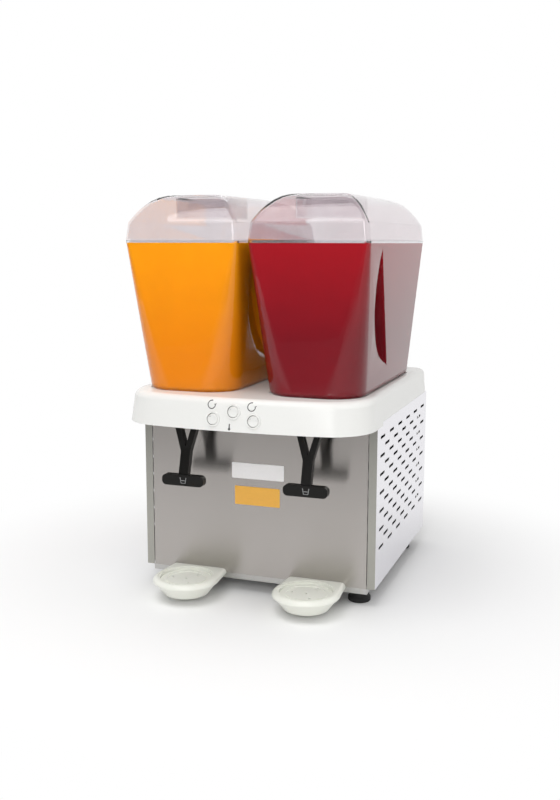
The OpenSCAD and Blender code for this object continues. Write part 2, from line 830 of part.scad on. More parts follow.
module tap_body(side) {
  inlet_r = seal_r + run_gap;
  lug_w = fork_gap - 2 * rest_gap;
  nozzle_y = ahead(nozzle_reach);
  nozzle_end = hood_z + 4;
  barrel_l = barrel_end - ahead(barrel_reach);
  color(bone) translate([bowl_x(side), 0, 0]) difference() {
    union() {
      translate([0, barrel_end - barrel_l / 2, barrel_z]) along_y(barrel_d / 2, barrel_l);
      translate([0, outlet_y, barrel_z + barrel_d / 2 - 1])
        cylinder(r = inlet_r + 2, h = tap_drop - barrel_d / 2 + 1);
      translate([0, outlet_y, barrel_z]) cylinder(d = barrel_d - 1, h = barrel_d / 2);
      translate([0, nozzle_y, nozzle_end]) cylinder(d = nozzle_d, h = barrel_z - nozzle_end);
      translate([0, pivot_y, pivot_z]) along_x(pin_d / 2 + 4, lug_w);
      translate([-lug_w / 2 + 2, pivot_y - pin_d / 2 - 4, pivot_z])
        cube([lug_w - 4, pin_d + 8, pivot_drop]);
    }
    translate([0, (ahead(barrel_reach) - cut + seat_front) / 2, barrel_z])
      along_y(barrel_bore / 2, seat_front - ahead(barrel_reach) + cut);
    translate([0, barrel_end, barrel_z]) along_y(rod_d / 2 + run_gap, 8);
    translate([0, (seat_front + barrel_end) / 2 - 2, barrel_z]) along_y(4, barrel_end - seat_front - 2);
    translate([0, (seat_front + seat_t + barrel_end - 3) / 2, barrel_z])
      along_y(barrel_bore / 2, barrel_end - 3 - seat_front - seat_t);
    translate([0, outlet_y, seat_z - outlet_l - 1]) cylinder(r = inlet_r, h = outlet_l);
    translate([0, outlet_y, barrel_z]) cylinder(d = outlet_d - 3, h = tap_drop);
    translate([0, nozzle_y, nozzle_end - cut]) cylinder(d = nozzle_d - 5, h = barrel_z - nozzle_end + cut);
    translate([0, pivot_y, pivot_z]) along_x(pin_d / 2 + fix_gap, fork_gap);
  }
}

module tap_cap(side) {
  front = ahead(barrel_reach);
  color(bone) translate([bowl_x(side), front, barrel_z]) {
    translate([0, -cap_t / 2, 0]) along_y(barrel_d / 2 + 1.5, cap_t);
    translate([0, cap_plug / 2 - 0.5, 0]) along_y(barrel_bore / 2 - fix_gap, cap_plug + 1);
  }
}

module tap_plunger(side) {
  rod_l = button_back - (head_back - head_t);
  color(white) translate([bowl_x(side), 0, barrel_z]) {
    translate([0, head_back - head_t / 2, 0]) along_y(head_r, head_t);
    translate([0, button_back - rod_l / 2, 0]) along_y(rod_d / 2, rod_l);
    translate([0, button_back - button_t / 2, 0]) along_y(button_d / 2, button_t);
  }
}

module plunger_seal(side) {
  color(rubber) translate([bowl_x(side), head_back + seal_t / 2, barrel_z]) difference() {
    along_y(head_r, seal_t);
    along_y(rod_d / 2 + fix_gap, seal_t + cut);
  }
}

spring_steps = 16;
spring_sides = 6;
spring_rings = spring_turns * spring_steps;
spring_run = spring_y1 - spring_y0 - spring_wire - 0.2;

// Ring of points round the wire at a step along the coil
function coil_ring(i) =
  let (a = 360 * i / spring_steps, y = spring_y0 + 0.1 + spring_wire / 2 + spring_run * i / spring_rings)
  [for (k = [0 : spring_sides - 1])
    let (b = 360 * k / spring_sides, r = spring_r + spring_wire / 2 * cos(b))
      [r * cos(a), y + spring_wire / 2 * sin(b), r * sin(a)]];

module tap_spring(side) {
  last = spring_rings * spring_sides;
  color(steel) translate([bowl_x(side), 0, barrel_z]) polyhedron(
    [for (i = [0 : spring_rings]) each coil_ring(i)],
    concat([[for (k = [0 : spring_sides - 1]) k]], [[for (k = [spring_sides - 1 : -1 : 0]) last + k]],
      [for (i = [0 : spring_rings - 1], k = [0 : spring_sides - 1])
        let (a = i * spring_sides + k, b = i * spring_sides + (k + 1) % spring_sides)
          each [[a, a + spring_sides, b], [b, a + spring_sides, b + spring_sides]]]));
}

module lever_pin(side) {
  color(steel) translate([bowl_x(side), pivot_y, pivot_z])
    along_x(pin_d / 2, fork_gap + 2 * fork_arm + 1);
}

function paddle_outline() =
  let (r = paddle_h * 0.42, x = paddle_w / 2, z = paddle_h / 2)
  concat(quarter(x - r, z - r, r, 0), quarter(-x + r, z - r, r, 90), quarter(-x + r, -z + r, r, 180),
         quarter(x - r, -z + r, r, 270));

module tap_lever(side) {
  boss_r = pin_d / 2 + 4.5;
  arm_x = (fork_gap + fork_arm) / 2;
  crotch_z = pivot_z - crotch_drop;
  crotch_y = pivot_y - 3;
  knee_drop = pin_d / 2 + 12;
  paddle_y = pivot_y - paddle_lead;
  paddle_z = pivot_z - paddle_drop;
  color(black) translate([bowl_x(side), 0, 0]) difference() {
    union() {
      for (end = [-1, 1]) {
        translate([end * arm_x, pivot_y, pivot_z]) along_x(boss_r, fork_arm);
        translate([end * arm_x - fork_arm / 2, pivot_y - lever_t / 2, pivot_z - knee_drop])
          cube([fork_arm, lever_t, knee_drop]);
        hull() {
          translate([end * arm_x - fork_arm / 2, pivot_y - lever_t / 2, pivot_z - knee_drop])
            cube([fork_arm, lever_t, 1]);
          translate([end > 0 ? 0 : -stem_w / 2, crotch_y - lever_t / 2, crotch_z - stem_w / 2])
            cube([stem_w / 2, lever_t, stem_w / 2]);
        }
        hull() {
          translate([end * arm_x, pivot_y, pivot_z]) along_x(boss_r - 1.5, fork_arm);
          translate([end * arm_x, crossbar_y, barrel_z]) along_x(crossbar_d / 2, fork_arm);
        }
      }
      hull() {
        translate([-stem_w / 2, crotch_y - lever_t / 2, crotch_z - stem_w / 2]) cube([stem_w, lever_t, 1]);
        translate([-stem_w / 2, paddle_y - paddle_t / 2 + 1, paddle_z]) cube([stem_w, paddle_t - 2, 1]);
      }
      translate([0, paddle_y + paddle_t / 2, paddle_z]) rotate([90, 0, 0]) linear_extrude(paddle_t)
        polygon(paddle_outline());
      translate([0, crossbar_y, barrel_z]) along_x(crossbar_d / 2, fork_gap + fork_arm);
    }
    translate([0, pivot_y, pivot_z]) along_x(pin_d / 2 + run_gap, fork_gap + 2 * fork_arm + 4);
  }
}

// Drip trays

rim_n = 4 * corner_n;
rim_wrap = 8;
grid_ledge = 3;
step_w = 3.5;
step_h = 1.2;

// A round rim, drawn in by an amount, whose rear half runs straight back to a flat edge at the panel
function tray_outline(inset) =
  let (r = tray_r - inset, back_x = tray_back_w / 2 - inset, back_y = front_y - rest_gap)
  concat([[back_x, back_y], [-back_x, back_y]],
         [for (i = [0 : rim_n]) let (a = mix(180 - rim_wrap, 360 + rim_wrap, i / rim_n))
           [r * cos(a), tray_y + r * sin(a)]]);

// The rim's form, rolled over along its upper edge
module tray_rim_form() {
  hull() {
    layer(tray_outline(1), tray_top - tray_rim);
    for (a = [0 : 22.5 : 90])
      layer(tray_outline(roll_r * (1 - cos(a))), tray_top - roll_r * (1 - sin(a)) - thin);
  }
}

module tray_hook() {
  lip_y = front_y + sheet_t + rest_gap;
  root_y = front_y - rest_gap - 1;
  translate([-hook_w / 2, root_y, hook_z]) cube([hook_w, lip_y + hook_t - root_y, hook_t]);
  translate([-hook_w / 2, lip_y, hook_z - hook_drop]) cube([hook_w, hook_t, hook_drop + hook_t]);
}

module drip_tray(side) {
  under = tray_top - tray_rim;
  inside = tray_bottom + tray_wall;
  color(bone) translate([bowl_x(side), 0, 0]) difference() {
    union() {
      tray_rim_form();
      translate([0, tray_y, tray_bottom])
        cylinder(r1 = cup_foot_r, r2 = cup_r, h = under - tray_bottom + thin);
      for (end = [-1, 1]) translate([end * hook_pitch / 2, 0, 0]) tray_hook();
    }
    translate([0, tray_y, inside])
      cylinder(r1 = cup_foot_r - tray_wall, r2 = grid_d / 2 - grid_ledge, h = grid_seat - inside);
    translate([0, tray_y, grid_seat - thin]) cylinder(d = grid_d + 2 * lift_gap, h = tray_top);
    translate([0, tray_y, tray_top - step_h]) cylinder(d = grid_d + 2 * step_w, h = tray_top);
  }
}

module drip_grid(side) {
  color(bone) translate([bowl_x(side), tray_y, grid_seat]) difference() {
    union() {
      cylinder(d = grid_d, h = grid_t);
      translate([0, 0, grid_t - 0.5]) difference() {
        cylinder(d = grid_d * 0.8, h = 1.7);
        translate([0, 0, -cut]) cylinder(d = grid_d * 0.74, h = 4);
      }
    }
    for (i = [0 : grid_holes - 1]) rotate(360 * (i + 0.5) / grid_holes) translate([grid_d * 0.28, 0, -cut])
      cylinder(d = grid_hole_d, h = grid_t + 2 * cut);
    translate([0, 0, -cut]) cylinder(d = grid_hole_d, h = grid_t + 2 * cut);
  }
}

// Switches

bezel_r = barrel_r + bezel_w;
bezel_t = 1.6;
face_gap = 0.12;
pivot_in = 3;

module switch_bezels() {
  color(white) for (i = [0 : 2]) on_fascia(switch_xs[i], switch_height(i)) difference() {
    union() {
      translate([0, 0, face_gap]) cylinder(r1 = bezel_r, r2 = bezel_r - 0.6, h = bezel_t);
      translate([0, 0, -switch_depth]) cylinder(r = barrel_r, h = switch_depth + bezel_t);
    }
    translate([0, 0, -8]) cylinder(r = rocker_d / 2 + rest_gap, h = 20);
  }
}

// A round key with two sloped faces, tilted about the axis across its middle
module rocker(i) {
  color(white) on_fascia(switch_xs[i], switch_height(i)) translate([0, 0, -pivot_in])
    rotate([rocker_tilt, 0, 0]) intersection() {
      sphere(d = rocker_d);
      translate([0, 0, 0.6]) for (end = [-1, 1]) rotate([end * rocker_tilt, 0, 0])
        translate([-rocker_d, end > 0 ? -0.2 : -rocker_d, -3.6]) cube([2 * rocker_d, rocker_d + 0.2, 7.2]);
    }
}

// Refrigeration in the cabinet

comp_leg = comp_d / 2 + leg_reach;
leg_end = 12;
leg_w = 28;
leg_t = 3;
stud_d = 8;
seam_out = 4;
seam_in = 2;
stub_r = 4;
stub_l = 40;
terminal_box = [24, 44, 48];

module compressor() {
  r = comp_d / 2;
  z0 = pan_floor + grommet_h;
  color(black) translate([comp_x, comp_y, z0]) {
    rotate_extrude() polygon(concat([[0, 0]],
      [for (i = [0 : corner_n]) let (a = 90 * i / corner_n) [r * sin(a), r * 0.45 * (1 - cos(a))]],
      [[r, comp_h * 0.55], [r + seam_out, comp_h * 0.55]],
      [[r + seam_out, comp_h * 0.58], [r - seam_in, comp_h * 0.58]],
      [for (i = [0 : corner_n]) let (a = 90 * i / corner_n)
        [(r - seam_in) * cos(a), comp_h - r * 0.5 * (1 - sin(a))]]));
    difference() {
      for (a = [45, -45]) rotate(a) translate([-comp_leg, -leg_w / 2, 0])
        cube([2 * comp_leg, leg_w, leg_t]);
      for (a = [0 : 90 : 270]) rotate(a + 45) translate([comp_leg - leg_end, 0, -cut])
        cylinder(d = stud_d, h = leg_t + 2 * cut);
    }
    translate([r - stub_r, 0, comp_h * 0.35]) along_x(stub_r, stub_l);
    translate([-r + seam_in, 0, comp_h * 0.3]) cube(terminal_box, center = true);
  }
}

module compressor_grommets() {
  color(rubber) translate([comp_x, comp_y, pan_floor]) for (a = [0 : 90 : 270]) rotate(a + 45)
    translate([comp_leg - leg_end, 0, 0]) difference() {
      cylinder(d = grommet_d, h = grommet_h);
      translate([0, 0, -cut]) cylinder(d = stud_d, h = grommet_h + 2 * cut);
    }
}

tube_d = 8;
tube_rows = 4;
tube_out = 10;
fin_t = 0.8;
fin_edge = 12;
end_plate = 1.6;

module condenser() {
  fin_span = cond_l - fin_edge;
  row_h = cond_h / tube_rows;
  color([0.62, 0.64, 0.66]) translate([cond_x, cond_y, cond_z]) {
    for (i = [0 : fin_count - 1])
      translate([0, fin_span * (i / (fin_count - 1) - 0.5) - fin_t / 2, 0]) cube([cond_t, fin_t, cond_h]);
    for (row = [0 : tube_rows - 1], col = [0.25, 0.75]) translate([cond_t * col, 0, row_h * (row + 0.5)])
      along_y(tube_d / 2, cond_l + tube_out);
    for (end = [-1, 1]) translate([0, end * cond_l / 2 - end_plate / 2, pan_floor - cond_z])
      cube([cond_t, end_plate, cond_h + cond_z - pan_floor]);
  }
}

shroud_t = 1.6;
blade_room = 5;
ring_l = 20;
ring_lap = 1;
tab_h = 10;
tab_up = 3;

module fan_shroud() {
  t = shroud_t;
  r = fan_d / 2 + blade_room;
  color(grey) translate([0, cond_y, 0]) difference() {
    union() {
      translate([shroud_x, -cond_l / 2, cond_z]) cube([t, cond_l, cond_h]);
      for (end = [-1, 1]) translate([shroud_x, end * (cond_l / 2 - t / 2) - t / 2, cond_z])
        cube([cond_x - shroud_x, t, cond_h]);
      translate([shroud_x - ring_l / 2 + ring_lap, 0, fan_z]) along_x(r + t, ring_l);
      for (end = [-1, 1])
        translate([motor_front - strut_t, -strut_w / 2, fan_z + end * (r + tab_up) - tab_h / 2])
          cube([shroud_x - motor_front + strut_t + ring_lap, strut_w, tab_h]);
    }
    translate([shroud_x, 0, fan_z]) along_x(r, 3 * (shroud_x - motor_front));
  }
}

strut_gap = 0.5;
nose_l = 6;
nose_bore = 24;

module fan_motor() {
  strut = fan_d / 2 + blade_room - strut_gap;
  color(black) translate([0, cond_y, fan_z]) difference() {
    union() {
      translate([motor_front - fan_motor_l / 2, 0, 0]) along_x(fan_motor_d / 2, fan_motor_l);
      translate([motor_front - strut_t / 2, 0, 0]) cube([strut_t, strut_w, 2 * strut], center = true);
      translate([motor_front + nose_l / 2, 0, 0]) along_x(shaft_d * 1.5, nose_l);
    }
    translate([motor_front, 0, 0]) along_x(shaft_d / 2 + run_gap, nose_bore);
  }
}

shaft_in = 8;
blade_l = 40;
blade_w = 48;
blade_t = 1.8;
blade_root = 3;

module fan_blade() {
  hub_r = hub_d / 2;
  shaft_l = fan_x - motor_front + shaft_in;
  color(grey) translate([fan_x, cond_y, fan_z]) {
    along_x(hub_r, hub_l);
    translate([-shaft_l / 2, 0, 0]) along_x(shaft_d / 2, shaft_l);
    for (i = [0 : fan_blades - 1]) rotate([360 * i / fan_blades, 0, 0]) intersection() {
      along_x(fan_d / 2, blade_l);
      translate([0, 0, hub_r - blade_root]) rotate([0, 0, 26]) translate([-blade_t / 2, -blade_w / 2, 0])
        cube([blade_t, blade_w, fan_d / 2]);
    }
  }
}

drier_d = 19;
drier_l = 70;
drier_tube = 6;
drier_end = 10;
drier_clip = [12, 12.5, 20];

module filter_drier() {
  end_y = cond_y - cond_l / 2 - end_plate / 2;
  color(copper) translate([cond_x + cond_t / 2, end_y - drier_clip.y, cond_z + cond_h * 0.35]) {
    cylinder(d = drier_d, h = drier_l);
    translate([0, 0, -drier_end]) cylinder(d1 = drier_tube, d2 = drier_d, h = drier_end);
    translate([0, 0, drier_l]) cylinder(d1 = drier_d, d2 = drier_tube, h = drier_end);
    translate([-drier_clip.x / 2, 0, drier_clip.z]) cube(drier_clip);
  }
}

thermostat_box = [44, 34, 38];

module thermostat() {
  mid_y = rear_y - sheet_t - thermostat_box.y / 2;
  color(grey) translate([thermostat_x, mid_y, thermostat_z]) difference() {
    cube(thermostat_box, center = true);
    translate([0, thermostat_box.y / 2, 0]) along_y(spindle_d / 2 + run_gap, 24);
  }
}

module thermostat_spindle() {
  back = rear_y + 1.5;
  color(white) translate([thermostat_x, 0, thermostat_z]) difference() {
    translate([0, back - 6, 0]) along_y(spindle_d / 2, 12);
    translate([0, back, 0]) cube([1.2, 4, spindle_d + cut], center = true);
  }
}

module cable_gland() {
  color(black) translate([gland_x, rear_y, gland_z]) difference() {
    union() {
      translate([0, gland_proud / 2, 0]) along_y(gland_hole_d / 2 + 4, gland_proud);
      translate([0, -6, 0]) along_y(gland_hole_d / 2 - fix_gap, 14);
      translate([0, -sheet_t - 2, 0]) along_y(gland_hole_d / 2 + 3, 4);
    }
    along_y(4, 40);
  }
}

module left_evaporator() { evaporator(-1); }
module right_evaporator() { evaporator(1); }
module left_stirrer_motor() { stirrer_motor(-1); }
module right_stirrer_motor() { stirrer_motor(1); }
module left_drive_magnet() { drive_magnet(-1); }
module right_drive_magnet() { drive_magnet(1); }
module left_impeller() { impeller(-1); }
module right_impeller() { impeller(1); }
module left_bowl() { bowl(-1); }
module right_bowl() { bowl(1); }
module left_bowl_gasket() { bowl_gasket(-1); }
module right_bowl_gasket() { bowl_gasket(1); }
module left_outlet_seal() { outlet_seal(-1); }
module right_outlet_seal() { outlet_seal(1); }
module left_lid() { lid(-1); }
module right_lid() { lid(1); }
module left_tap_body() { tap_body(-1); }
module right_tap_body() { tap_body(1); }
module left_tap_cap() { tap_cap(-1); }
module right_tap_cap() { tap_cap(1); }
module left_tap_plunger() { tap_plunger(-1); }
module right_tap_plunger() { tap_plunger(1); }
module left_plunger_seal() { plunger_seal(-1); }
module right_plunger_seal() { plunger_seal(1); }
module left_tap_spring() { tap_spring(-1); }
module right_tap_spring() { tap_spring(1); }
module left_lever_pin() { lever_pin(-1); }
module right_lever_pin() { lever_pin(1); }
module left_tap_lever() { tap_lever(-1); }
module right_tap_lever() { tap_lever(1); }
module left_drip_tray() { drip_tray(-1); }
module right_drip_tray() { drip_tray(1); }
module left_drip_grid() { drip_grid(-1); }
module right_drip_grid() { drip_grid(1); }
module left_stirrer_switch() { rocker(0); }
module cooling_switch() { rocker(1); }
module right_stirrer_switch() { rocker(2); }

base_pan();
front_panel();
left_side_panel();
right_side_panel();
rear_panel();
feet();
top_hood();
deck_insulation();
left_evaporator();
right_evaporator();
left_stirrer_motor();
right_stirrer_motor();
left_drive_magnet();
right_drive_magnet();
left_impeller();
right_impeller();
left_bowl();
right_bowl();
left_bowl_gasket();
right_bowl_gasket();
left_outlet_seal();
right_outlet_seal();
left_lid();
right_lid();
left_tap_body();
right_tap_body();
left_tap_cap();
right_tap_cap();
left_tap_plunger();
right_tap_plunger();
left_plunger_seal();
right_plunger_seal();
left_tap_spring();
right_tap_spring();
left_lever_pin();
right_lever_pin();
left_tap_lever();
right_tap_lever();
left_drip_tray();
right_drip_tray();
left_drip_grid();
right_drip_grid();
switch_bezels();
left_stirrer_switch();
cooling_switch();
right_stirrer_switch();
compressor();
compressor_grommets();
condenser();
fan_shroud();
fan_motor();
fan_blade();
filter_drier();
thermostat();
thermostat_spindle();
cable_gland();
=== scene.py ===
import json
import math
import bpy
import bmesh
from mathutils import Matrix, Vector
from mathutils.bvhtree import BVHTree


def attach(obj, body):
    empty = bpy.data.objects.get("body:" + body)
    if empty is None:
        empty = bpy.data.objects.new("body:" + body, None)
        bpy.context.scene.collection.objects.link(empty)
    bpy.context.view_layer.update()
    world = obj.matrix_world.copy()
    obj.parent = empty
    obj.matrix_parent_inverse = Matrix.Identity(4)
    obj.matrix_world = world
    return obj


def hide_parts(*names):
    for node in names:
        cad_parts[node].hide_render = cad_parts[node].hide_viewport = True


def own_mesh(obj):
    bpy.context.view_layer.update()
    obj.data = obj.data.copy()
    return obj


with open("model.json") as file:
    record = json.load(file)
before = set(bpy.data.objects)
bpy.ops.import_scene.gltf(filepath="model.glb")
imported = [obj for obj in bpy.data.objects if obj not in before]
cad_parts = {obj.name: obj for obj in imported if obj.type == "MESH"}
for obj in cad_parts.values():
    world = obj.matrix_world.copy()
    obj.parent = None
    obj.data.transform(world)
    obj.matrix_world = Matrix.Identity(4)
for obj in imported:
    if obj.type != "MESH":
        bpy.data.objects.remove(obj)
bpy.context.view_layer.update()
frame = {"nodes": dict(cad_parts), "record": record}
nodes = frame["nodes"]
record = frame["record"]
scene = bpy.context.scene
bodyOf = {n: b for b, members in record["behaviour"]["bodies"].items() for n in members}
slotOf = {s["node"]: s["material_slot"] for s in record["subparts"]}
sides = {"left": -1, "right": 1}
print("stage: frame loaded with", len(nodes), "nodes")

# camera at the photograph's place; angles in degrees, lens and sensor in millimetres
cameraSetup = {"place": (0.5534, -1.5870, 0.5767), "turn": 19.522, "dip": 9.194, "roll": 0.12, "lens": 44.06,
               "sensor": 36.0, "clip": (0.05, 60.0)}


def makeCamera(setup):
    data = bpy.data.cameras.new("camera")
    data.lens = setup["lens"]
    data.sensor_width = setup["sensor"]
    data.sensor_fit = "AUTO"
    data.clip_start, data.clip_end = setup["clip"]
    cam = bpy.data.objects.new("camera", data)
    scene.collection.objects.link(cam)
    turned = (Matrix.Rotation(math.radians(setup["turn"]), 4, "Z")
              @ Matrix.Rotation(math.radians(90 - setup["dip"]), 4, "X")
              @ Matrix.Rotation(math.radians(setup["roll"]), 4, "Z"))
    cam.matrix_world = Matrix.Translation(Vector(setup["place"])) @ turned
    scene.camera = cam


makeCamera(cameraSetup)
scene.view_settings.view_transform = "Standard"
print("stage: camera set")

# the colour sockets of a Mix node
mixA, mixB, mixOut = 6, 7, 2


def addColourMix(tree):
    mix = tree.nodes.new("ShaderNodeMix")
    mix.data_type = "RGBA"
    return mix


def addRange(tree, span=(0.0, 1.0), ease="LINEAR"):
    node = tree.nodes.new("ShaderNodeMapRange")
    node.interpolation_type = ease
    node.inputs["From Min"].default_value, node.inputs["From Max"].default_value = span
    return node


def addMath(tree, operation):
    node = tree.nodes.new("ShaderNodeMath")
    node.operation = operation
    return node


# one grain for every finish: stretched noise that drives tone, gloss and relief
grainSetup = {"detail": 4.0, "span": (0.3, 0.7),
              "ins": (("Vector", "NodeSocketVector"), ("Stretch", "NodeSocketVector"),
                      ("Scale", "NodeSocketFloat"), ("Dark", "NodeSocketColor"), ("Light", "NodeSocketColor"),
                      ("Smooth", "NodeSocketFloat"), ("Rough", "NodeSocketFloat")),
              "outs": (("Colour", "NodeSocketColor"), ("Roughness", "NodeSocketFloat"),
                       ("Height", "NodeSocketFloat"))}


def makeGrainGroup(setup):
    group = bpy.data.node_groups.new("finishGrain", "ShaderNodeTree")
    for name, kind in setup["ins"]:
        group.interface.new_socket(name=name, in_out="INPUT", socket_type=kind)
    for name, kind in setup["outs"]:
        group.interface.new_socket(name=name, in_out="OUTPUT", socket_type=kind)
    put, take = group.nodes.new("NodeGroupInput"), group.nodes.new("NodeGroupOutput")
    stretch = group.nodes.new("ShaderNodeVectorMath")
    stretch.operation = "MULTIPLY"
    noise = group.nodes.new("ShaderNodeTexNoise")
    noise.inputs["Detail"].default_value = setup["detail"]
    spread = addRange(group, setup["span"])
    tone = addColourMix(group)
    gloss = addRange(group)
    link = group.links.new
    link(put.outputs["Vector"], stretch.inputs[0])
    link(put.outputs["Stretch"], stretch.inputs[1])
    link(stretch.outputs[0], noise.inputs["Vector"])
    link(put.outputs["Scale"], noise.inputs["Scale"])
    link(noise.outputs["Fac"], spread.inputs["Value"])
    link(spread.outputs["Result"], tone.inputs[0])
    link(put.outputs["Dark"], tone.inputs[mixA])
    link(put.outputs["Light"], tone.inputs[mixB])
    link(spread.outputs["Result"], gloss.inputs["Value"])
    link(put.outputs["Smooth"], gloss.inputs["To Min"])
    link(put.outputs["Rough"], gloss.inputs["To Max"])
    link(tone.outputs[mixOut], take.inputs["Colour"])
    link(gloss.outputs["Result"], take.inputs["Roughness"])
    link(spread.outputs["Result"], take.inputs["Height"])
    return group


grainGroup = makeGrainGroup(grainSetup)


def rgb(r, g, b):
    def lin(c):
        c = c / 255
        return c / 12.92 if c <= 0.04045 else ((c + 0.055) / 1.055) ** 2.4
    return (lin(r), lin(g), lin(b), 1.0)


def toned(colour, by):
    return tuple(min(1.0, c * by) for c in colour[:3]) + (1.0,)


socketOf = {"metal": "Metallic", "coat": "Coat Weight", "ior": "IOR", "clear": "Transmission Weight",
            "specular": "Specular IOR Level", "brushed": "Anisotropic", "turn": "Anisotropic Rotation"}


def makeFinish(name, colour, swing, scale, rough, stretch=(1, 1, 1), relief=0.0, depth=0.0002, **values):
    mat = bpy.data.materials.new(name)
    mat.use_nodes = True
    tree = mat.node_tree
    shader = tree.nodes["Principled BSDF"]
    coords = tree.nodes.new("ShaderNodeTexCoord")
    grain = tree.nodes.new("ShaderNodeGroup")
    grain.node_tree = grainGroup
    grain.inputs["Stretch"].default_value = stretch
    grain.inputs["Scale"].default_value = scale
    grain.inputs["Dark"].default_value = toned(rgb(*colour), 1 - swing)
    grain.inputs["Light"].default_value = toned(rgb(*colour), 1 + swing)
    grain.inputs["Smooth"].default_value, grain.inputs["Rough"].default_value = rough
    tree.links.new(coords.outputs["Object"], grain.inputs["Vector"])
    tree.links.new(grain.outputs["Colour"], shader.inputs["Base Color"])
    tree.links.new(grain.outputs["Roughness"], shader.inputs["Roughness"])
    if relief:
        bump = tree.nodes.new("ShaderNodeBump")
        bump.inputs["Strength"].default_value = relief
        bump.inputs["Distance"].default_value = depth
        tree.links.new(grain.outputs["Height"], bump.inputs["Height"])
        tree.links.new(bump.outputs["Normal"], shader.inputs["Normal"])
    for key, value in values.items():
        shader.inputs[socketOf[key]].default_value = value
    return mat


# light from the lamps goes straight through a clear moulding
lampTint = (0.96, 0.97, 0.98, 1.0)


def letLampsThrough(mat):
    tree = mat.node_tree
    shader = tree.nodes["Principled BSDF"]
    out = tree.nodes["Material Output"]
    path = tree.nodes.new("ShaderNodeLightPath")
    clear = tree.nodes.new("ShaderNodeBsdfTransparent")
    clear.inputs["Color"].default_value = lampTint
    mix = tree.nodes.new("ShaderNodeMixShader")
    tree.links.new(path.outputs["Is Shadow Ray"], mix.inputs[0])
    tree.links.new(shader.outputs[0], mix.inputs[1])
    tree.links.new(clear.outputs[0], mix.inputs[2])
    tree.links.new(mix.outputs[0], out.inputs["Surface"])


# colour as in sRGB, its swing to dark and light, the grain, and then values of the shader's sockets
finishSpecs = {
    "frontSteel": {"colour": (190, 185, 181), "swing": 0.04, "stretch": (3, 60, 420), "scale": 30,
                   "rough": (0.19, 0.24), "relief": 0.03, "metal": 1.0, "brushed": 1.0, "turn": 0.25},
    # painted light: the side panels' steel is painted much lighter than the front and pan steel, a lit copy of
    # the same sheet
    "sideSteel": {"colour": (234, 233, 237), "swing": 0.04, "stretch": (60, 3, 420), "scale": 30,
                  "rough": (0.26, 0.36), "relief": 0.1, "metal": 1.0},
    "panSteel": {"colour": (196, 195, 193), "swing": 0.05, "stretch": (3, 60, 420), "scale": 30,
                 "rough": (0.25, 0.38), "relief": 0.1, "metal": 1.0},
    "whiteMoulding": {"colour": (239, 239, 236), "swing": 0.012, "scale": 900, "rough": (0.2, 0.27),
                      "relief": 0.03, "specular": 0.3},
    "clearMoulding": {"colour": (244, 246, 247), "swing": 0.01, "scale": 40, "rough": (0.01, 0.03),
                      "ior": 1.42, "clear": 1.0},
    "lidMoulding": {"colour": (235, 231, 233), "swing": 0.015, "scale": 30, "rough": (0.03, 0.08),
                    "ior": 1.03, "clear": 1.0, "coat": 0.6},
    "blackMoulding": {"colour": (20, 19, 17), "swing": 0.2, "scale": 1400, "rough": (0.34, 0.46),
                      "relief": 0.12, "specular": 0.25},
    "blackRubber": {"colour": (20, 20, 20), "swing": 0.25, "scale": 700, "rough": (0.6, 0.8), "relief": 0.3},
    "boneMoulding": {"colour": (239, 240, 231), "swing": 0.015, "scale": 1000, "rough": (0.3, 0.4),
                     "relief": 0.06},
    "stainless": {"colour": (214, 214, 216), "swing": 0.04, "stretch": (8, 8, 120), "scale": 60,
                  "rough": (0.15, 0.25), "relief": 0.05, "metal": 1.0},
    "blackEnamel": {"colour": (30, 31, 33), "swing": 0.2, "scale": 500, "rough": (0.2, 0.32), "relief": 0.1,
                    "coat": 0.4},
    "finMetal": {"colour": (92, 94, 97), "swing": 0.1, "scale": 300, "rough": (0.4, 0.55), "relief": 0.1,
                 "metal": 1.0},
    "copper": {"colour": (205, 128, 88), "swing": 0.1, "scale": 150, "rough": (0.25, 0.4), "relief": 0.05,
               "metal": 1.0},
    "foam": {"colour": (233, 222, 178), "swing": 0.08, "scale": 500, "rough": (0.8, 0.95), "relief": 0.5,
             "depth": 0.0006},
    "greyMoulding": {"colour": (112, 115, 119), "swing": 0.06, "scale": 900, "rough": (0.4, 0.55),
                     "relief": 0.15},
    "whitePlate": {"colour": (242, 240, 240), "swing": 0.012, "scale": 300, "rough": (0.3, 0.38),
                   "relief": 0.02},
    "orangePlate": {"colour": (246, 184, 76), "swing": 0.025, "scale": 300, "rough": (0.3, 0.4),
                    "relief": 0.02},
    "signInk": {"colour": (62, 62, 64), "swing": 0.08, "scale": 900, "rough": (0.45, 0.6)},
    "greyInk": {"colour": (150, 151, 152), "swing": 0.06, "scale": 900, "rough": (0.45, 0.6)},
}
finishes = {name: makeFinish(name, **spec) for name, spec in finishSpecs.items()}
for name in ("clearMoulding", "lidMoulding"):
    letLampsThrough(finishes[name])


def nodeOf(tree, kind):
    return [n for n in tree.nodes if n.type == kind][0]


# painted shade: where a side panel's face turns to the front, as on its folded flange, it is painted darker
# than the sheet
flangeShade = {"colour": (172, 171, 164), "facing": (-0.5, -0.9)}


# painted shade: mixes the darker colour into the side steel's faces that turn to the front
def shadeFlange(mat, spec):
    tree = mat.node_tree
    grain, coords = nodeOf(tree, "GROUP"), nodeOf(tree, "TEX_COORD")
    split = tree.nodes.new("ShaderNodeSeparateXYZ")
    facing = addRange(tree, spec["facing"])
    tone = addColourMix(tree)
    tone.inputs[mixB].default_value = rgb(*spec["colour"])
    tree.links.new(coords.outputs["Normal"], split.inputs[0])
    tree.links.new(split.outputs["Y"], facing.inputs["Value"])
    tree.links.new(facing.outputs["Result"], tone.inputs[0])
    tree.links.new(grain.outputs["Colour"], tone.inputs[mixA])
    tree.links.new(tone.outputs[mixOut], tree.nodes["Principled BSDF"].inputs["Base Color"])


shadeFlange(finishes["sideSteel"], flangeShade)
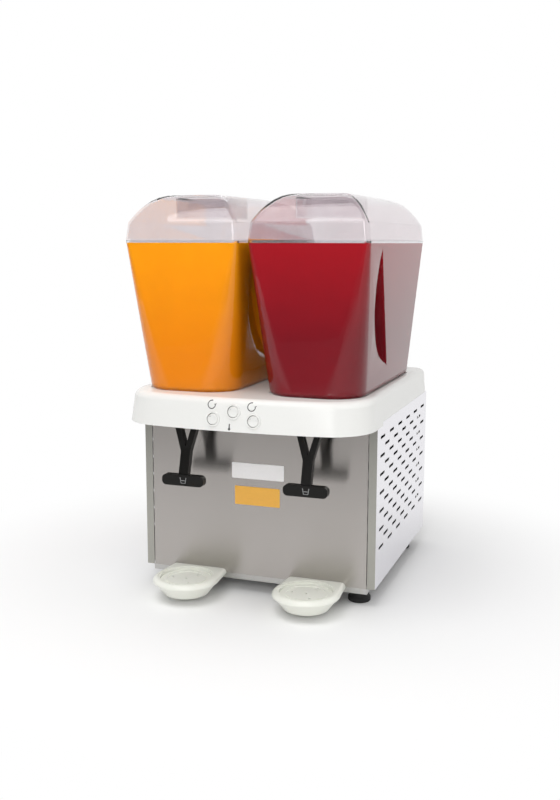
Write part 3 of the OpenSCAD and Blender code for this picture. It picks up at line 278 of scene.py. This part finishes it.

# painted shade: juice is painted darker from the top of its span to the bottom
juiceGrain = {"swing": 0.03, "scale": 25, "rough": (0.3, 0.4), "specular": 0.0}
juiceShadeTones = {"orangeJuice": {"top": (230, 150, 17), "bottom": (219, 131, 18), "span": (0.40, 0.575)},
              "redJuice": {"top": (157, 24, 34), "bottom": (121, 22, 32), "span": (0.43, 0.575)}}


# painted shade: the juice's colour fades by height to its darker bottom tone
def makeJuiceFinish(name, spec):
    mat = makeFinish(name, spec["top"], **juiceGrain)
    tree = mat.node_tree
    shader = tree.nodes["Principled BSDF"]
    grain, coords = nodeOf(tree, "GROUP"), nodeOf(tree, "TEX_COORD")
    split = tree.nodes.new("ShaderNodeSeparateXYZ")
    climb = addRange(tree, spec["span"])
    fade = addColourMix(tree)
    fade.inputs[mixA].default_value = rgb(*spec["bottom"])
    tree.links.new(coords.outputs["Object"], split.inputs[0])
    tree.links.new(split.outputs["Z"], climb.inputs["Value"])
    tree.links.new(climb.outputs["Result"], fade.inputs[0])
    tree.links.new(grain.outputs["Colour"], fade.inputs[mixB])
    tree.links.new(fade.outputs[mixOut], shader.inputs["Base Color"])
    return mat


for name, spec in juiceShadeTones.items():
    finishes[name] = makeJuiceFinish(name, spec)
print("stage: finishes made,", len(finishes))

slotFinish = {"steel_sheet": "panSteel", "white_moulding": "whiteMoulding", "clear_moulding": "clearMoulding",
              "black_moulding": "blackMoulding", "black_rubber": "blackRubber", "bone_moulding": "boneMoulding",
              "stainless": "stainless", "black_enamel": "blackEnamel", "fin_metal": "finMetal",
              "copper": "copper", "foam": "foam", "grey_moulding": "greyMoulding"}
nodeFinish = {"front_panel": "frontSteel", "left_side_panel": "sideSteel", "right_side_panel": "sideSteel",
              "left_lid": "lidMoulding", "right_lid": "lidMoulding"}
for name in sides:
    nodeFinish.update({name + "_tap_body": "blackMoulding", name + "_tap_cap": "blackMoulding"})


def dress(obj, finish):
    obj.data.materials.clear()
    obj.data.materials.append(finishes[finish])
    for p in obj.data.polygons:
        p.material_index = 0


def finishFor(node):
    return nodeFinish.get(node, slotFinish[slotOf[node]])


for name, obj in nodes.items():
    dress(obj, finishFor(name))


def linkPiece(name, mesh, body, finish):
    obj = bpy.data.objects.new(name, mesh)
    scene.collection.objects.link(obj)
    dress(obj, finish)
    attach(obj, body)
    return obj


def meshFrom(bm, name):
    mesh = bpy.data.meshes.new(name)
    bm.to_mesh(mesh)
    bm.free()
    return mesh


def modifiedMesh(obj):
    bpy.context.view_layer.update()
    return bpy.data.meshes.new_from_object(obj.evaluated_get(bpy.context.evaluated_depsgraph_get()))


# moulded nodes get a merged copy, so that their rounded faces shade as one skin
moulds = {"angle": 32, "merge": 2e-6, "tiny": 1e-6, "weight": 50,
          "nodes": ["top_hood", "left_bowl", "right_bowl", "left_lid", "right_lid", "left_tap_lever",
                    "right_tap_lever", "left_drip_tray", "right_drip_tray", "left_drip_grid", "right_drip_grid",
                    "feet", "left_stirrer_switch", "cooling_switch", "right_stirrer_switch", "left_evaporator",
                    "right_evaporator", "compressor"]}


# large faces keep their own direction, so that only the rounded edges between them bend the light
def weighNormals(mesh, weight):
    obj = bpy.data.objects.new("weighing", mesh)
    scene.collection.objects.link(obj)
    mod = obj.modifiers.new("weigh", "WEIGHTED_NORMAL")
    mod.mode = "FACE_AREA"
    mod.weight = weight
    mod.keep_sharp = True
    weighed = modifiedMesh(obj)
    weighed.name = mesh.name
    bpy.data.objects.remove(obj)
    bpy.data.meshes.remove(mesh)
    return weighed


def smoothCopy(node, spec):
    bm = bmesh.new()
    bm.from_mesh(nodes[node].data)
    bmesh.ops.remove_doubles(bm, verts=bm.verts, dist=spec["merge"])
    bmesh.ops.dissolve_degenerate(bm, edges=bm.edges, dist=spec["tiny"])
    for f in bm.faces:
        f.smooth = True
    for e in bm.edges:
        if len(e.link_faces) == 2 and e.calc_face_angle(0) > math.radians(spec["angle"]):
            e.smooth = False
    mesh = weighNormals(meshFrom(bm, node + "Skin"), spec["weight"])
    obj = linkPiece(node + "Skin", mesh, bodyOf[node], finishFor(node))
    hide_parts(node)
    return obj


skins = {node: smoothCopy(node, moulds) for node in moulds["nodes"]}
print("stage: moulded skins,", len(skins))


def makeCoil(side):
    node = side + "_tap_spring"
    obj = linkPiece(side + "Coil", nodes[node].data.copy(), bodyOf[node], finishFor(node))
    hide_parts(node)
    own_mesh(obj)


for name in sides:
    makeCoil(name)
print("stage: coils set")

# juice: the bowl's inside as a loft, with room for the hand grips and the cooler
juice = {"base": (0.157, 0.372), "rim": (0.191, 0.392), "front": -0.191, "seat": 0.3395, "height": 0.2385,
         "pitch": 0.103, "wall": 0.003, "sink": 0.0008, "floor": 0.0035, "level": 0.5745, "edge": 0.009,
         "edgeTurns": (0, 20, 40, 60, 80, 90), "rows": 12, "corners": (0.054, 0.036, 0.009),
         "leastCorner": 0.001,
         "well": {"radius": 0.0620, "foot": 0.32, "top": 0.4255, "steps": 64,
                  "crown": ((0.0, 0.012), (0.004, 0.004), (0.014, 0.0))},
         "grip": {"length": 0.217, "reach": 0.063, "depth": 0.0185, "z": 0.131, "y": -0.068, "slant": 27.5,
                  "segments": (256, 128)},
         "sharp": 35, "finish": {"left": "orangeJuice", "right": "redJuice"}}


# a loop from y0 to y1, x to each side, with corner radii rf at y0 and rb at y1
def roundBox(x, y0, y1, rf, rb, steps=10):
    points = []
    for cx, cy, r, a in ((x - rb, y1 - rb, rb, 0), (-x + rb, y1 - rb, rb, 90),
                         (-x + rf, y0 + rf, rf, 180), (x - rf, y0 + rf, rf, 270)):
        for i in range(steps + 1):
            t = math.radians(a + 90 * i / steps)
            points.append((cx + r * math.cos(t), cy + r * math.sin(t)))
    return points


# the bowl's outline from its base (t = 0) to its rim (t = 1), drawn in by the inset
def bowlLoop(spec, t, inset):
    grow = (spec["rim"][1] - spec["base"][1]) / 2 * t
    half = (spec["base"][0] * (1 - t) + spec["rim"][0] * t) / 2 - inset
    baseFront, baseRear, rimCorner = spec["corners"]
    front = max(baseFront * (1 - t) + rimCorner * t - inset, spec["leastCorner"])
    rear = max(baseRear * (1 - t) + rimCorner * t - inset, spec["leastCorner"])
    y0, y1 = spec["front"] - grow + inset, spec["front"] + spec["base"][1] + grow - inset
    return roundBox(half, y0, y1, front, rear)


def unitRing(steps):
    return [(math.cos(2 * math.pi * i / steps), math.sin(2 * math.pi * i / steps)) for i in range(steps)]


def loftLoops(bm, loops):
    rings = [[bm.verts.new(p) for p in loop] for loop in loops]
    for a, b in zip(rings, rings[1:]):
        for i in range(len(a)):
            j = (i + 1) % len(a)
            bm.faces.new((a[i], a[j], b[j], b[i]))
    bm.faces.new(list(reversed(rings[0])))
    bm.faces.new(rings[-1])


def tempObject(bm, name):
    bmesh.ops.recalc_face_normals(bm, faces=bm.faces)
    obj = bpy.data.objects.new(name, meshFrom(bm, name))
    scene.collection.objects.link(obj)
    return obj


def cutAway(obj, tool):
    mod = obj.modifiers.new("cut", "BOOLEAN")
    mod.operation = "DIFFERENCE"
    mod.solver = "EXACT"
    mod.object = tool
    mesh = modifiedMesh(obj)
    obj.modifiers.clear()
    old = obj.data
    obj.data = mesh
    bpy.data.meshes.remove(old)
    bpy.data.objects.remove(tool)


# a ball cut off flat to the rear, as deep as the grip with the wall behind it
def makeGripTool(spec, side, centre, wall):
    g = spec["grip"]
    half = g["length"] / 2
    arc = (half ** 2 + g["reach"] ** 2) / (2 * g["reach"])
    out = (half ** 2 / g["depth"] - g["depth"]) / 2
    lean = math.atan((spec["rim"][0] - spec["base"][0]) / 2 / spec["height"])
    wallX = (spec["base"][0] + (spec["rim"][0] - spec["base"][0]) * g["z"] / spec["height"]) / 2
    place = (Matrix.Translation((wallX, g["y"], spec["seat"] + g["z"])) @ Matrix.Rotation(lean, 4, "Y")
             @ Matrix.Rotation(math.radians(g["slant"]), 4, "X"))
    around, along = g["segments"]
    bm = bmesh.new()
    bmesh.ops.create_uvsphere(bm, u_segments=around, v_segments=along, radius=math.hypot(arc, out) + wall,
                              matrix=Matrix.Translation((out, arc - g["reach"], 0)))
    cut = bmesh.ops.bisect_plane(bm, geom=bm.verts[:] + bm.edges[:] + bm.faces[:], plane_co=(0, wall, 0),
                                 plane_no=(0, 1, 0), clear_outer=True)
    bmesh.ops.contextual_create(bm, geom=[e for e in cut["geom_cut"] if isinstance(e, bmesh.types.BMEdge)])
    for v in bm.verts:
        p = place @ v.co
        v.co = (p.x * side + centre, p.y, p.z)
    return tempObject(bm, "gripTool")


# a round post with a rounded crown, where the cooler stands
def makeWellTool(spec, centre):
    well = spec["well"]
    midY = spec["front"] + spec["base"][1] / 2
    stack = [(well["radius"], well["foot"])]
    stack += [(well["radius"] - inset, well["top"] - drop) for inset, drop in well["crown"]]
    ring = unitRing(well["steps"])
    bm = bmesh.new()
    loftLoops(bm, [[(centre + q * c, midY + q * s, z) for c, s in ring] for q, z in stack])
    return tempObject(bm, "wellTool")


def makeJuiceBody(name, side, spec):
    centre = spec["pitch"] * side
    wall = spec["wall"] - spec["sink"]
    bend = spec["edge"] - wall
    loops = []
    for a in spec["edgeTurns"]:
        inset = wall + bend * (1 - math.sin(math.radians(a)))
        z = spec["seat"] + spec["floor"] - spec["sink"] + bend * (1 - math.cos(math.radians(a)))
        loops.append([(x + centre, y, z) for x, y in bowlLoop(spec, 0, inset)])
    base = loops[-1][0][2]
    for k in range(1, spec["rows"] + 1):
        z = base + (spec["level"] - base) * k / spec["rows"]
        t = (z - base) / (spec["seat"] + spec["height"] - base)
        loops.append([(x + centre, y, z) for x, y in bowlLoop(spec, t, wall)])
    bm = bmesh.new()
    loftLoops(bm, loops)
    obj = tempObject(bm, name)
    for hand in sides.values():
        cutAway(obj, makeGripTool(spec, hand, centre, wall))
    cutAway(obj, makeWellTool(spec, centre))
    for p in obj.data.polygons:
        p.use_smooth = True
    return obj


for name, side in sides.items():
    obj = makeJuiceBody(name + "Juice", side, juice)
    dress(obj, juice["finish"][name])
    obj.data.set_sharp_from_angle(angle=math.radians(juice["sharp"]))
    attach(obj, name + "_bowl_unit")
print("stage: juice poured")

# bare plates on the front panel
plates = {"thickness": 0.0006, "panelFace": -0.139, "cornerSteps": 6, "edgeFrom": 0.6, "edgeInset": 0.5,
          "pieces": [{"name": "whitePlate", "centre": (0.002, 0.208), "size": (0.090, 0.026), "corner": 0.002},
                     {"name": "orangePlate", "centre": (0.001, 0.1665), "size": (0.078, 0.031),
                      "corner": 0.0015}]}


def makePlate(spec, common):
    w, h, r = spec["size"][0] / 2, spec["size"][1] / 2, spec["corner"]
    loop = roundBox(w, -h, h, r, r, common["cornerSteps"])
    cx, cz = spec["centre"]
    thick = common["thickness"]
    stack = [(0.0, 0.0), (thick * common["edgeFrom"], 0.0), (thick, thick * common["edgeInset"])]
    rings = []
    for lift, inset in stack:
        kx, kz = (w - inset) / w, (h - inset) / h
        rings.append([(cx + x * kx, common["panelFace"] - lift, cz + z * kz) for x, z in loop])
    bm = bmesh.new()
    loftLoops(bm, rings)
    bmesh.ops.recalc_face_normals(bm, faces=bm.faces)
    linkPiece(spec["name"], meshFrom(bm, spec["name"]), "cabinet", spec["name"])


for spec in plates["pieces"]:
    makePlate(spec, plates)
print("stage: plates,", len(plates["pieces"]))

# printed signs: flat strokes laid on the face behind them
signs = {"proud": 0.00012, "sunk": 0.00006, "from": -0.6,
         "arrows": [{"name": "leftArrow", "at": (-0.0362, 0.3316)},
                    {"name": "rightArrow", "at": (0.0290, 0.3312)}],
         "arrow": {"radius": 0.0061, "width": 0.0013, "start": 78, "end": 370, "steps": 36,
                   "head": (0.0042, 0.0048), "lap": 0.1},
         "gauge": {"name": "coldSign", "at": (-0.005, 0.2965), "bulb": 0.0019, "stem": 0.0009,
                   "height": 0.0078},
         "dots": [("left_stirrer_switch", (-0.0372, 0.3148)), ("cooling_switch", (-0.0045, 0.3270)),
                  ("right_stirrer_switch", (0.0283, 0.3148))], "dot": 0.0017,
         "cup": {"top": 0.0052, "base": 0.0036, "height": 0.0092, "width": 0.0011, "fill": 0.45, "z": 0.1994,
                 "shift": 0.0012}}


def strokeShape(points, width):
    count = len(points)
    left, right = [], []
    for i, (x, z) in enumerate(points):
        before, after = points[max(i - 1, 0)], points[min(i + 1, count - 1)]
        way = Vector((after[0] - before[0], after[1] - before[1])).normalized()
        left.append((x - way.y * width / 2, z + way.x * width / 2))
        right.append((x + way.y * width / 2, z - way.x * width / 2))
    quads = [(i, i + 1, count + i + 1, count + i) for i in range(count - 1)]
    return left + right, quads


def discShape(x, z, r, steps=20):
    return [(x + r * c, z + r * s) for c, s in unitRing(steps)], [tuple(range(steps))]


def joinShapes(shapes):
    points, faces = [], []
    for some, polygons in shapes:
        base = len(points)
        points += some
        faces += [tuple(base + i for i in polygon) for polygon in polygons]
    return points, faces


# each point is cast onto the face from the front; the strokes stand a little proud of it
def laySign(name, shape, node, finish):
    points, faces = shape
    source = skins.get(node, nodes[node]).data
    tree = BVHTree.FromPolygons([v.co for v in source.vertices], [p.vertices for p in source.polygons])
    bm = bmesh.new()
    front, back = [], []
    for x, z in points:
        spot, normal, _, _ = tree.ray_cast(Vector((x, signs["from"], z)), Vector((0, 1, 0)))
        front.append(bm.verts.new(spot + normal * signs["proud"]))
        back.append(bm.verts.new(spot - normal * signs["sunk"]))
    edges = {}
    for polygon in faces:
        bm.faces.new([front[i] for i in polygon])
        bm.faces.new([back[i] for i in reversed(polygon)])
        for a, b in zip(polygon, polygon[1:] + polygon[:1]):
            edges[(a, b)] = (b, a) not in edges
            if (b, a) in edges:
                edges[(b, a)] = False
    for (a, b), outer in edges.items():
        if outer:
            bm.faces.new((front[b], front[a], back[a], back[b]))
    bmesh.ops.recalc_face_normals(bm, faces=bm.faces)
    linkPiece(name, meshFrom(bm, name), bodyOf[node], finish)


def arrowShape(at, spec):
    x, z = at
    sweep, steps = spec["end"] - spec["start"], spec["steps"]
    turns = [math.radians(spec["start"] + sweep * i / steps) for i in range(steps + 1)]
    ring = [(x + spec["radius"] * math.cos(t), z + spec["radius"] * math.sin(t)) for t in turns]
    tip = turns[-1]
    out, along = Vector((math.cos(tip), math.sin(tip))), Vector((-math.sin(tip), math.cos(tip)))
    middle = Vector(at) + out * spec["radius"]
    half, reach = spec["head"][0] / 2, spec["head"][1]
    lap = along * reach * spec["lap"]
    head = [middle + out * half - lap, middle + along * reach, middle - out * half - lap]
    return joinShapes([strokeShape(ring, spec["width"]), ([tuple(p) for p in head], [(0, 1, 2)])])


def gaugeShape(spec):
    x, z = spec["at"]
    stem = [(x, z), (x, z + spec["height"] / 2), (x, z + spec["height"])]
    return joinShapes([discShape(x, z, spec["bulb"]), strokeShape(stem, 2 * spec["stem"])])


def cupShape(lever, spec):
    x = lever + spec["shift"]
    z0, z1 = spec["z"] - spec["height"] / 2, spec["z"] + spec["height"] / 2
    cup = [(x - spec["top"], z1), (x - spec["base"], z0), (x + spec["base"], z0), (x + spec["top"], z1)]
    level = z0 + (z1 - z0) * spec["fill"]
    wide = spec["base"] + (spec["top"] - spec["base"]) * spec["fill"] - spec["width"]
    surface = [(x - wide, level), (x + wide, level)]
    return joinShapes([strokeShape(cup, spec["width"]), strokeShape(surface, spec["width"])])


for spec in signs["arrows"]:
    laySign(spec["name"], arrowShape(spec["at"], signs["arrow"]), "top_hood", "signInk")
laySign(signs["gauge"]["name"], gaugeShape(signs["gauge"]), "top_hood", "signInk")
for node, at in signs["dots"]:
    laySign(node + "Dot", discShape(*at, signs["dot"]), node, "greyInk")
for name, side in sides.items():
    laySign(name + "CupSign", cupShape(side * juice["pitch"], signs["cup"]), name + "_tap_lever", "greyInk")
print("stage: signs laid")

# pan-head screws along the rear panel's edges
screws = {"name": "rearScrews", "face": 0.243, "columns": (-0.176, 0.176), "rows": (0.052, 0.165, 0.282),
          "between": (0.0, 0.282), "radius": 0.0036, "height": 0.0021, "rim": 0.35, "middle": 0.06, "rings": 6,
          "around": 28, "recess": (0.0009, 0.0040, 0.0012), "turn": math.pi / 2, "seed": 3, "sharp": 30}


def makeScrew(spec):
    loops = []
    for i in range(spec["rings"] + 1):
        a = math.radians(90 * i / spec["rings"])
        r = spec["radius"] * max(math.cos(a), spec["middle"])
        lift = spec["height"] * (spec["rim"] + (1 - spec["rim"]) * math.sin(a))
        loops.append([(r * c, lift, -r * s) for c, s in unitRing(spec["around"])])
    loops.insert(0, [(x, 0.0, z) for x, _, z in loops[0]])
    bm = bmesh.new()
    loftLoops(bm, loops)
    head = tempObject(bm, "screwHead")
    thick, long, deep = spec["recess"]
    for wide, tall in ((thick, long), (long, thick)):
        bm = bmesh.new()
        bmesh.ops.create_cube(bm, size=1.0, matrix=Matrix.Translation((0, spec["height"], 0))
                              @ Matrix.Diagonal((wide, 2 * deep, tall, 1)))
        cutAway(head, tempObject(bm, "recessTool"))
    return head


# one head on each point, turned by chance about the rear panel's normal
def makeScrewSpread(spec):
    group = bpy.data.node_groups.new("screwSpread", "GeometryNodeTree")
    group.interface.new_socket(name="Geometry", in_out="INPUT", socket_type="NodeSocketGeometry")
    group.interface.new_socket(name="Head", in_out="INPUT", socket_type="NodeSocketObject")
    group.interface.new_socket(name="Turn", in_out="INPUT", socket_type="NodeSocketVector")
    group.interface.new_socket(name="Finish", in_out="INPUT", socket_type="NodeSocketMaterial")
    group.interface.new_socket(name="Geometry", in_out="OUTPUT", socket_type="NodeSocketGeometry")
    put, take = group.nodes.new("NodeGroupInput"), group.nodes.new("NodeGroupOutput")
    info = group.nodes.new("GeometryNodeObjectInfo")
    spread = group.nodes.new("GeometryNodeInstanceOnPoints")
    turn = group.nodes.new("FunctionNodeRandomValue")
    turn.data_type = "FLOAT_VECTOR"
    turn.inputs["Min"].default_value = (0.0, 0.0, 0.0)
    turn.inputs["Seed"].default_value = spec["seed"]
    solid = group.nodes.new("GeometryNodeRealizeInstances")
    paint = group.nodes.new("GeometryNodeSetMaterial")
    link = group.links.new
    link(put.outputs["Geometry"], spread.inputs["Points"])
    link(put.outputs["Head"], info.inputs["Object"])
    link(info.outputs["Geometry"], spread.inputs["Instance"])
    link(put.outputs["Turn"], turn.inputs["Max"])
    link(turn.outputs["Value"], spread.inputs["Rotation"])
    link(spread.outputs["Instances"], solid.inputs["Geometry"])
    link(solid.outputs["Geometry"], paint.inputs["Geometry"])
    link(put.outputs["Finish"], paint.inputs["Material"])
    link(paint.outputs["Geometry"], take.inputs["Geometry"])
    return group


def makeScrewRows(spec):
    head = makeScrew(spec)
    places = [(x, spec["face"], z) for x in spec["columns"] for z in spec["rows"]]
    places.append((spec["between"][0], spec["face"], spec["between"][1]))
    points = bpy.data.meshes.new(spec["name"])
    points.from_pydata(places, [], [])
    obj = bpy.data.objects.new(spec["name"], points)
    scene.collection.objects.link(obj)
    group = makeScrewSpread(spec)
    mod = obj.modifiers.new("screwSpread", "NODES")
    mod.node_group = group
    values = {"Head": head, "Turn": (0.0, spec["turn"], 0.0), "Finish": finishes["stainless"]}
    for item in group.interface.items_tree:
        if item.in_out == "INPUT" and item.name in values:
            mod[item.identifier] = values[item.name]
    mesh = modifiedMesh(obj)
    obj.modifiers.clear()
    obj.data = mesh
    bpy.data.objects.remove(head)
    dress(obj, "stainless")
    obj.data.set_sharp_from_angle(angle=math.radians(spec["sharp"]))
    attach(obj, "cabinet")


makeScrewRows(screws)
print("stage: screws set")

# floor, surroundings and lamps
floorSheet = {"lit": (246, 246, 246), "dim": (120, 120, 120), "dimFrom": (-0.8, -1.7), "radius": 2.4,
              "segments": 96, "fade": (0.28, 0.72), "rough": 0.9, "specular": 0.1}
surroundings = {"behind": 0.12, "ahead": 0.8, "turn": (-0.65, 0.25)}
lamps = [{"name": "keyLamp", "place": (0.6, -2.8, 1.45), "aim": (0, 0, 0.3), "size": 1.6, "power": 33},
         {"name": "fillLamp", "place": (2.4, -1.3, 1.5), "aim": (0, 0, 0.3), "size": 1.8, "power": 5},
         {"name": "topLamp", "place": (-0.2, -1.0, 2.5), "aim": (0, 0, 0.2), "size": 1.8, "power": 29}]


# 1 for a ray of the camera or through glass, and the mask's value for a reflected ray
def seenThere(tree, mask):
    path = tree.nodes.new("ShaderNodeLightPath")
    mirrored = addMath(tree, "MULTIPLY")
    straight = addMath(tree, "MAXIMUM")
    both = addMath(tree, "MAXIMUM")
    tree.links.new(path.outputs["Is Glossy Ray"], mirrored.inputs[0])
    tree.links.new(mask, mirrored.inputs[1])
    tree.links.new(path.outputs["Is Camera Ray"], straight.inputs[0])
    tree.links.new(path.outputs["Is Transmission Ray"], straight.inputs[1])
    tree.links.new(mirrored.outputs[0], both.inputs[0])
    tree.links.new(straight.outputs[0], both.inputs[1])
    return both.outputs[0]


# paper that is dim behind the camera and fades to plain white where it is looked at
def makeFloorPaper(spec):
    mat = bpy.data.materials.new("floorPaper")
    mat.use_nodes = True
    tree = mat.node_tree
    shader = tree.nodes["Principled BSDF"]
    shader.inputs["Roughness"].default_value = spec["rough"]
    shader.inputs["Specular IOR Level"].default_value = spec["specular"]
    white = tree.nodes.new("ShaderNodeEmission")
    coords = tree.nodes.new("ShaderNodeTexCoord")
    far = tree.nodes.new("ShaderNodeVectorMath")
    far.operation = "LENGTH"
    fade = addRange(tree, spec["fade"], "SMOOTHSTEP")
    split = tree.nodes.new("ShaderNodeSeparateXYZ")
    reach = addRange(tree, spec["dimFrom"], "SMOOTHSTEP")
    tone = addColourMix(tree)
    tone.inputs[mixA].default_value, tone.inputs[mixB].default_value = rgb(*spec["lit"]), rgb(*spec["dim"])
    near = addMath(tree, "SUBTRACT")
    near.inputs[0].default_value = 1.0
    mask = addMath(tree, "MULTIPLY")
    mix = tree.nodes.new("ShaderNodeMixShader")
    link = tree.links.new
    link(coords.outputs["Object"], far.inputs[0])
    link(far.outputs["Value"], fade.inputs["Value"])
    link(coords.outputs["Object"], split.inputs[0])
    link(split.outputs["Y"], reach.inputs["Value"])
    link(reach.outputs["Result"], tone.inputs[0])
    link(tone.outputs[mixOut], shader.inputs["Base Color"])
    link(reach.outputs["Result"], near.inputs[1])
    link(seenThere(tree, near.outputs[0]), mask.inputs[0])
    link(fade.outputs["Result"], mask.inputs[1])
    link(mask.outputs[0], mix.inputs[0])
    link(shader.outputs[0], mix.inputs[1])
    link(white.outputs[0], mix.inputs[2])
    link(mix.outputs[0], tree.nodes["Material Output"].inputs["Surface"])
    return mat


def makeFloor(spec):
    bm = bmesh.new()
    bmesh.ops.create_circle(bm, cap_ends=True, segments=spec["segments"], radius=spec["radius"])
    floor = bpy.data.objects.new("floor", meshFrom(bm, "floor"))
    scene.collection.objects.link(floor)
    floor.data.materials.append(makeFloorPaper(spec))


# pale behind the object and dim behind the camera; white to the camera and through glass, and white behind the
# object in a reflection
def makeWorld(spec):
    world = bpy.data.worlds.new("studio")
    scene.world = world
    world.use_nodes = True
    tree = world.node_tree
    back = tree.nodes["Background"]
    coords = tree.nodes.new("ShaderNodeTexCoord")
    split = tree.nodes.new("ShaderNodeSeparateXYZ")
    ahead = addRange(tree, spec["turn"], "SMOOTHSTEP")
    depth = addRange(tree)
    depth.inputs["To Min"].default_value, depth.inputs["To Max"].default_value = spec["behind"], spec["ahead"]
    level = addMath(tree, "MAXIMUM")
    link = tree.links.new
    link(coords.outputs["Generated"], split.inputs[0])
    link(split.outputs["Y"], ahead.inputs["Value"])
    link(ahead.outputs["Result"], depth.inputs["Value"])
    link(depth.outputs["Result"], level.inputs[0])
    link(seenThere(tree, ahead.outputs["Result"]), level.inputs[1])
    link(level.outputs[0], back.inputs["Color"])
    back.inputs["Strength"].default_value = 1.0


def makeLamp(spec):
    data = bpy.data.lights.new(spec["name"], "AREA")
    data.shape = "DISK"
    data.size = spec["size"]
    data.energy = spec["power"]
    lamp = bpy.data.objects.new(spec["name"], data)
    scene.collection.objects.link(lamp)
    aim = Vector(spec["aim"]) - Vector(spec["place"])
    turned = aim.to_track_quat("-Z", "Y").to_matrix().to_4x4()
    lamp.matrix_world = Matrix.Translation(Vector(spec["place"])) @ turned


makeFloor(floorSheet)
makeWorld(surroundings)
for spec in lamps:
    makeLamp(spec)
print("stage: studio lit")
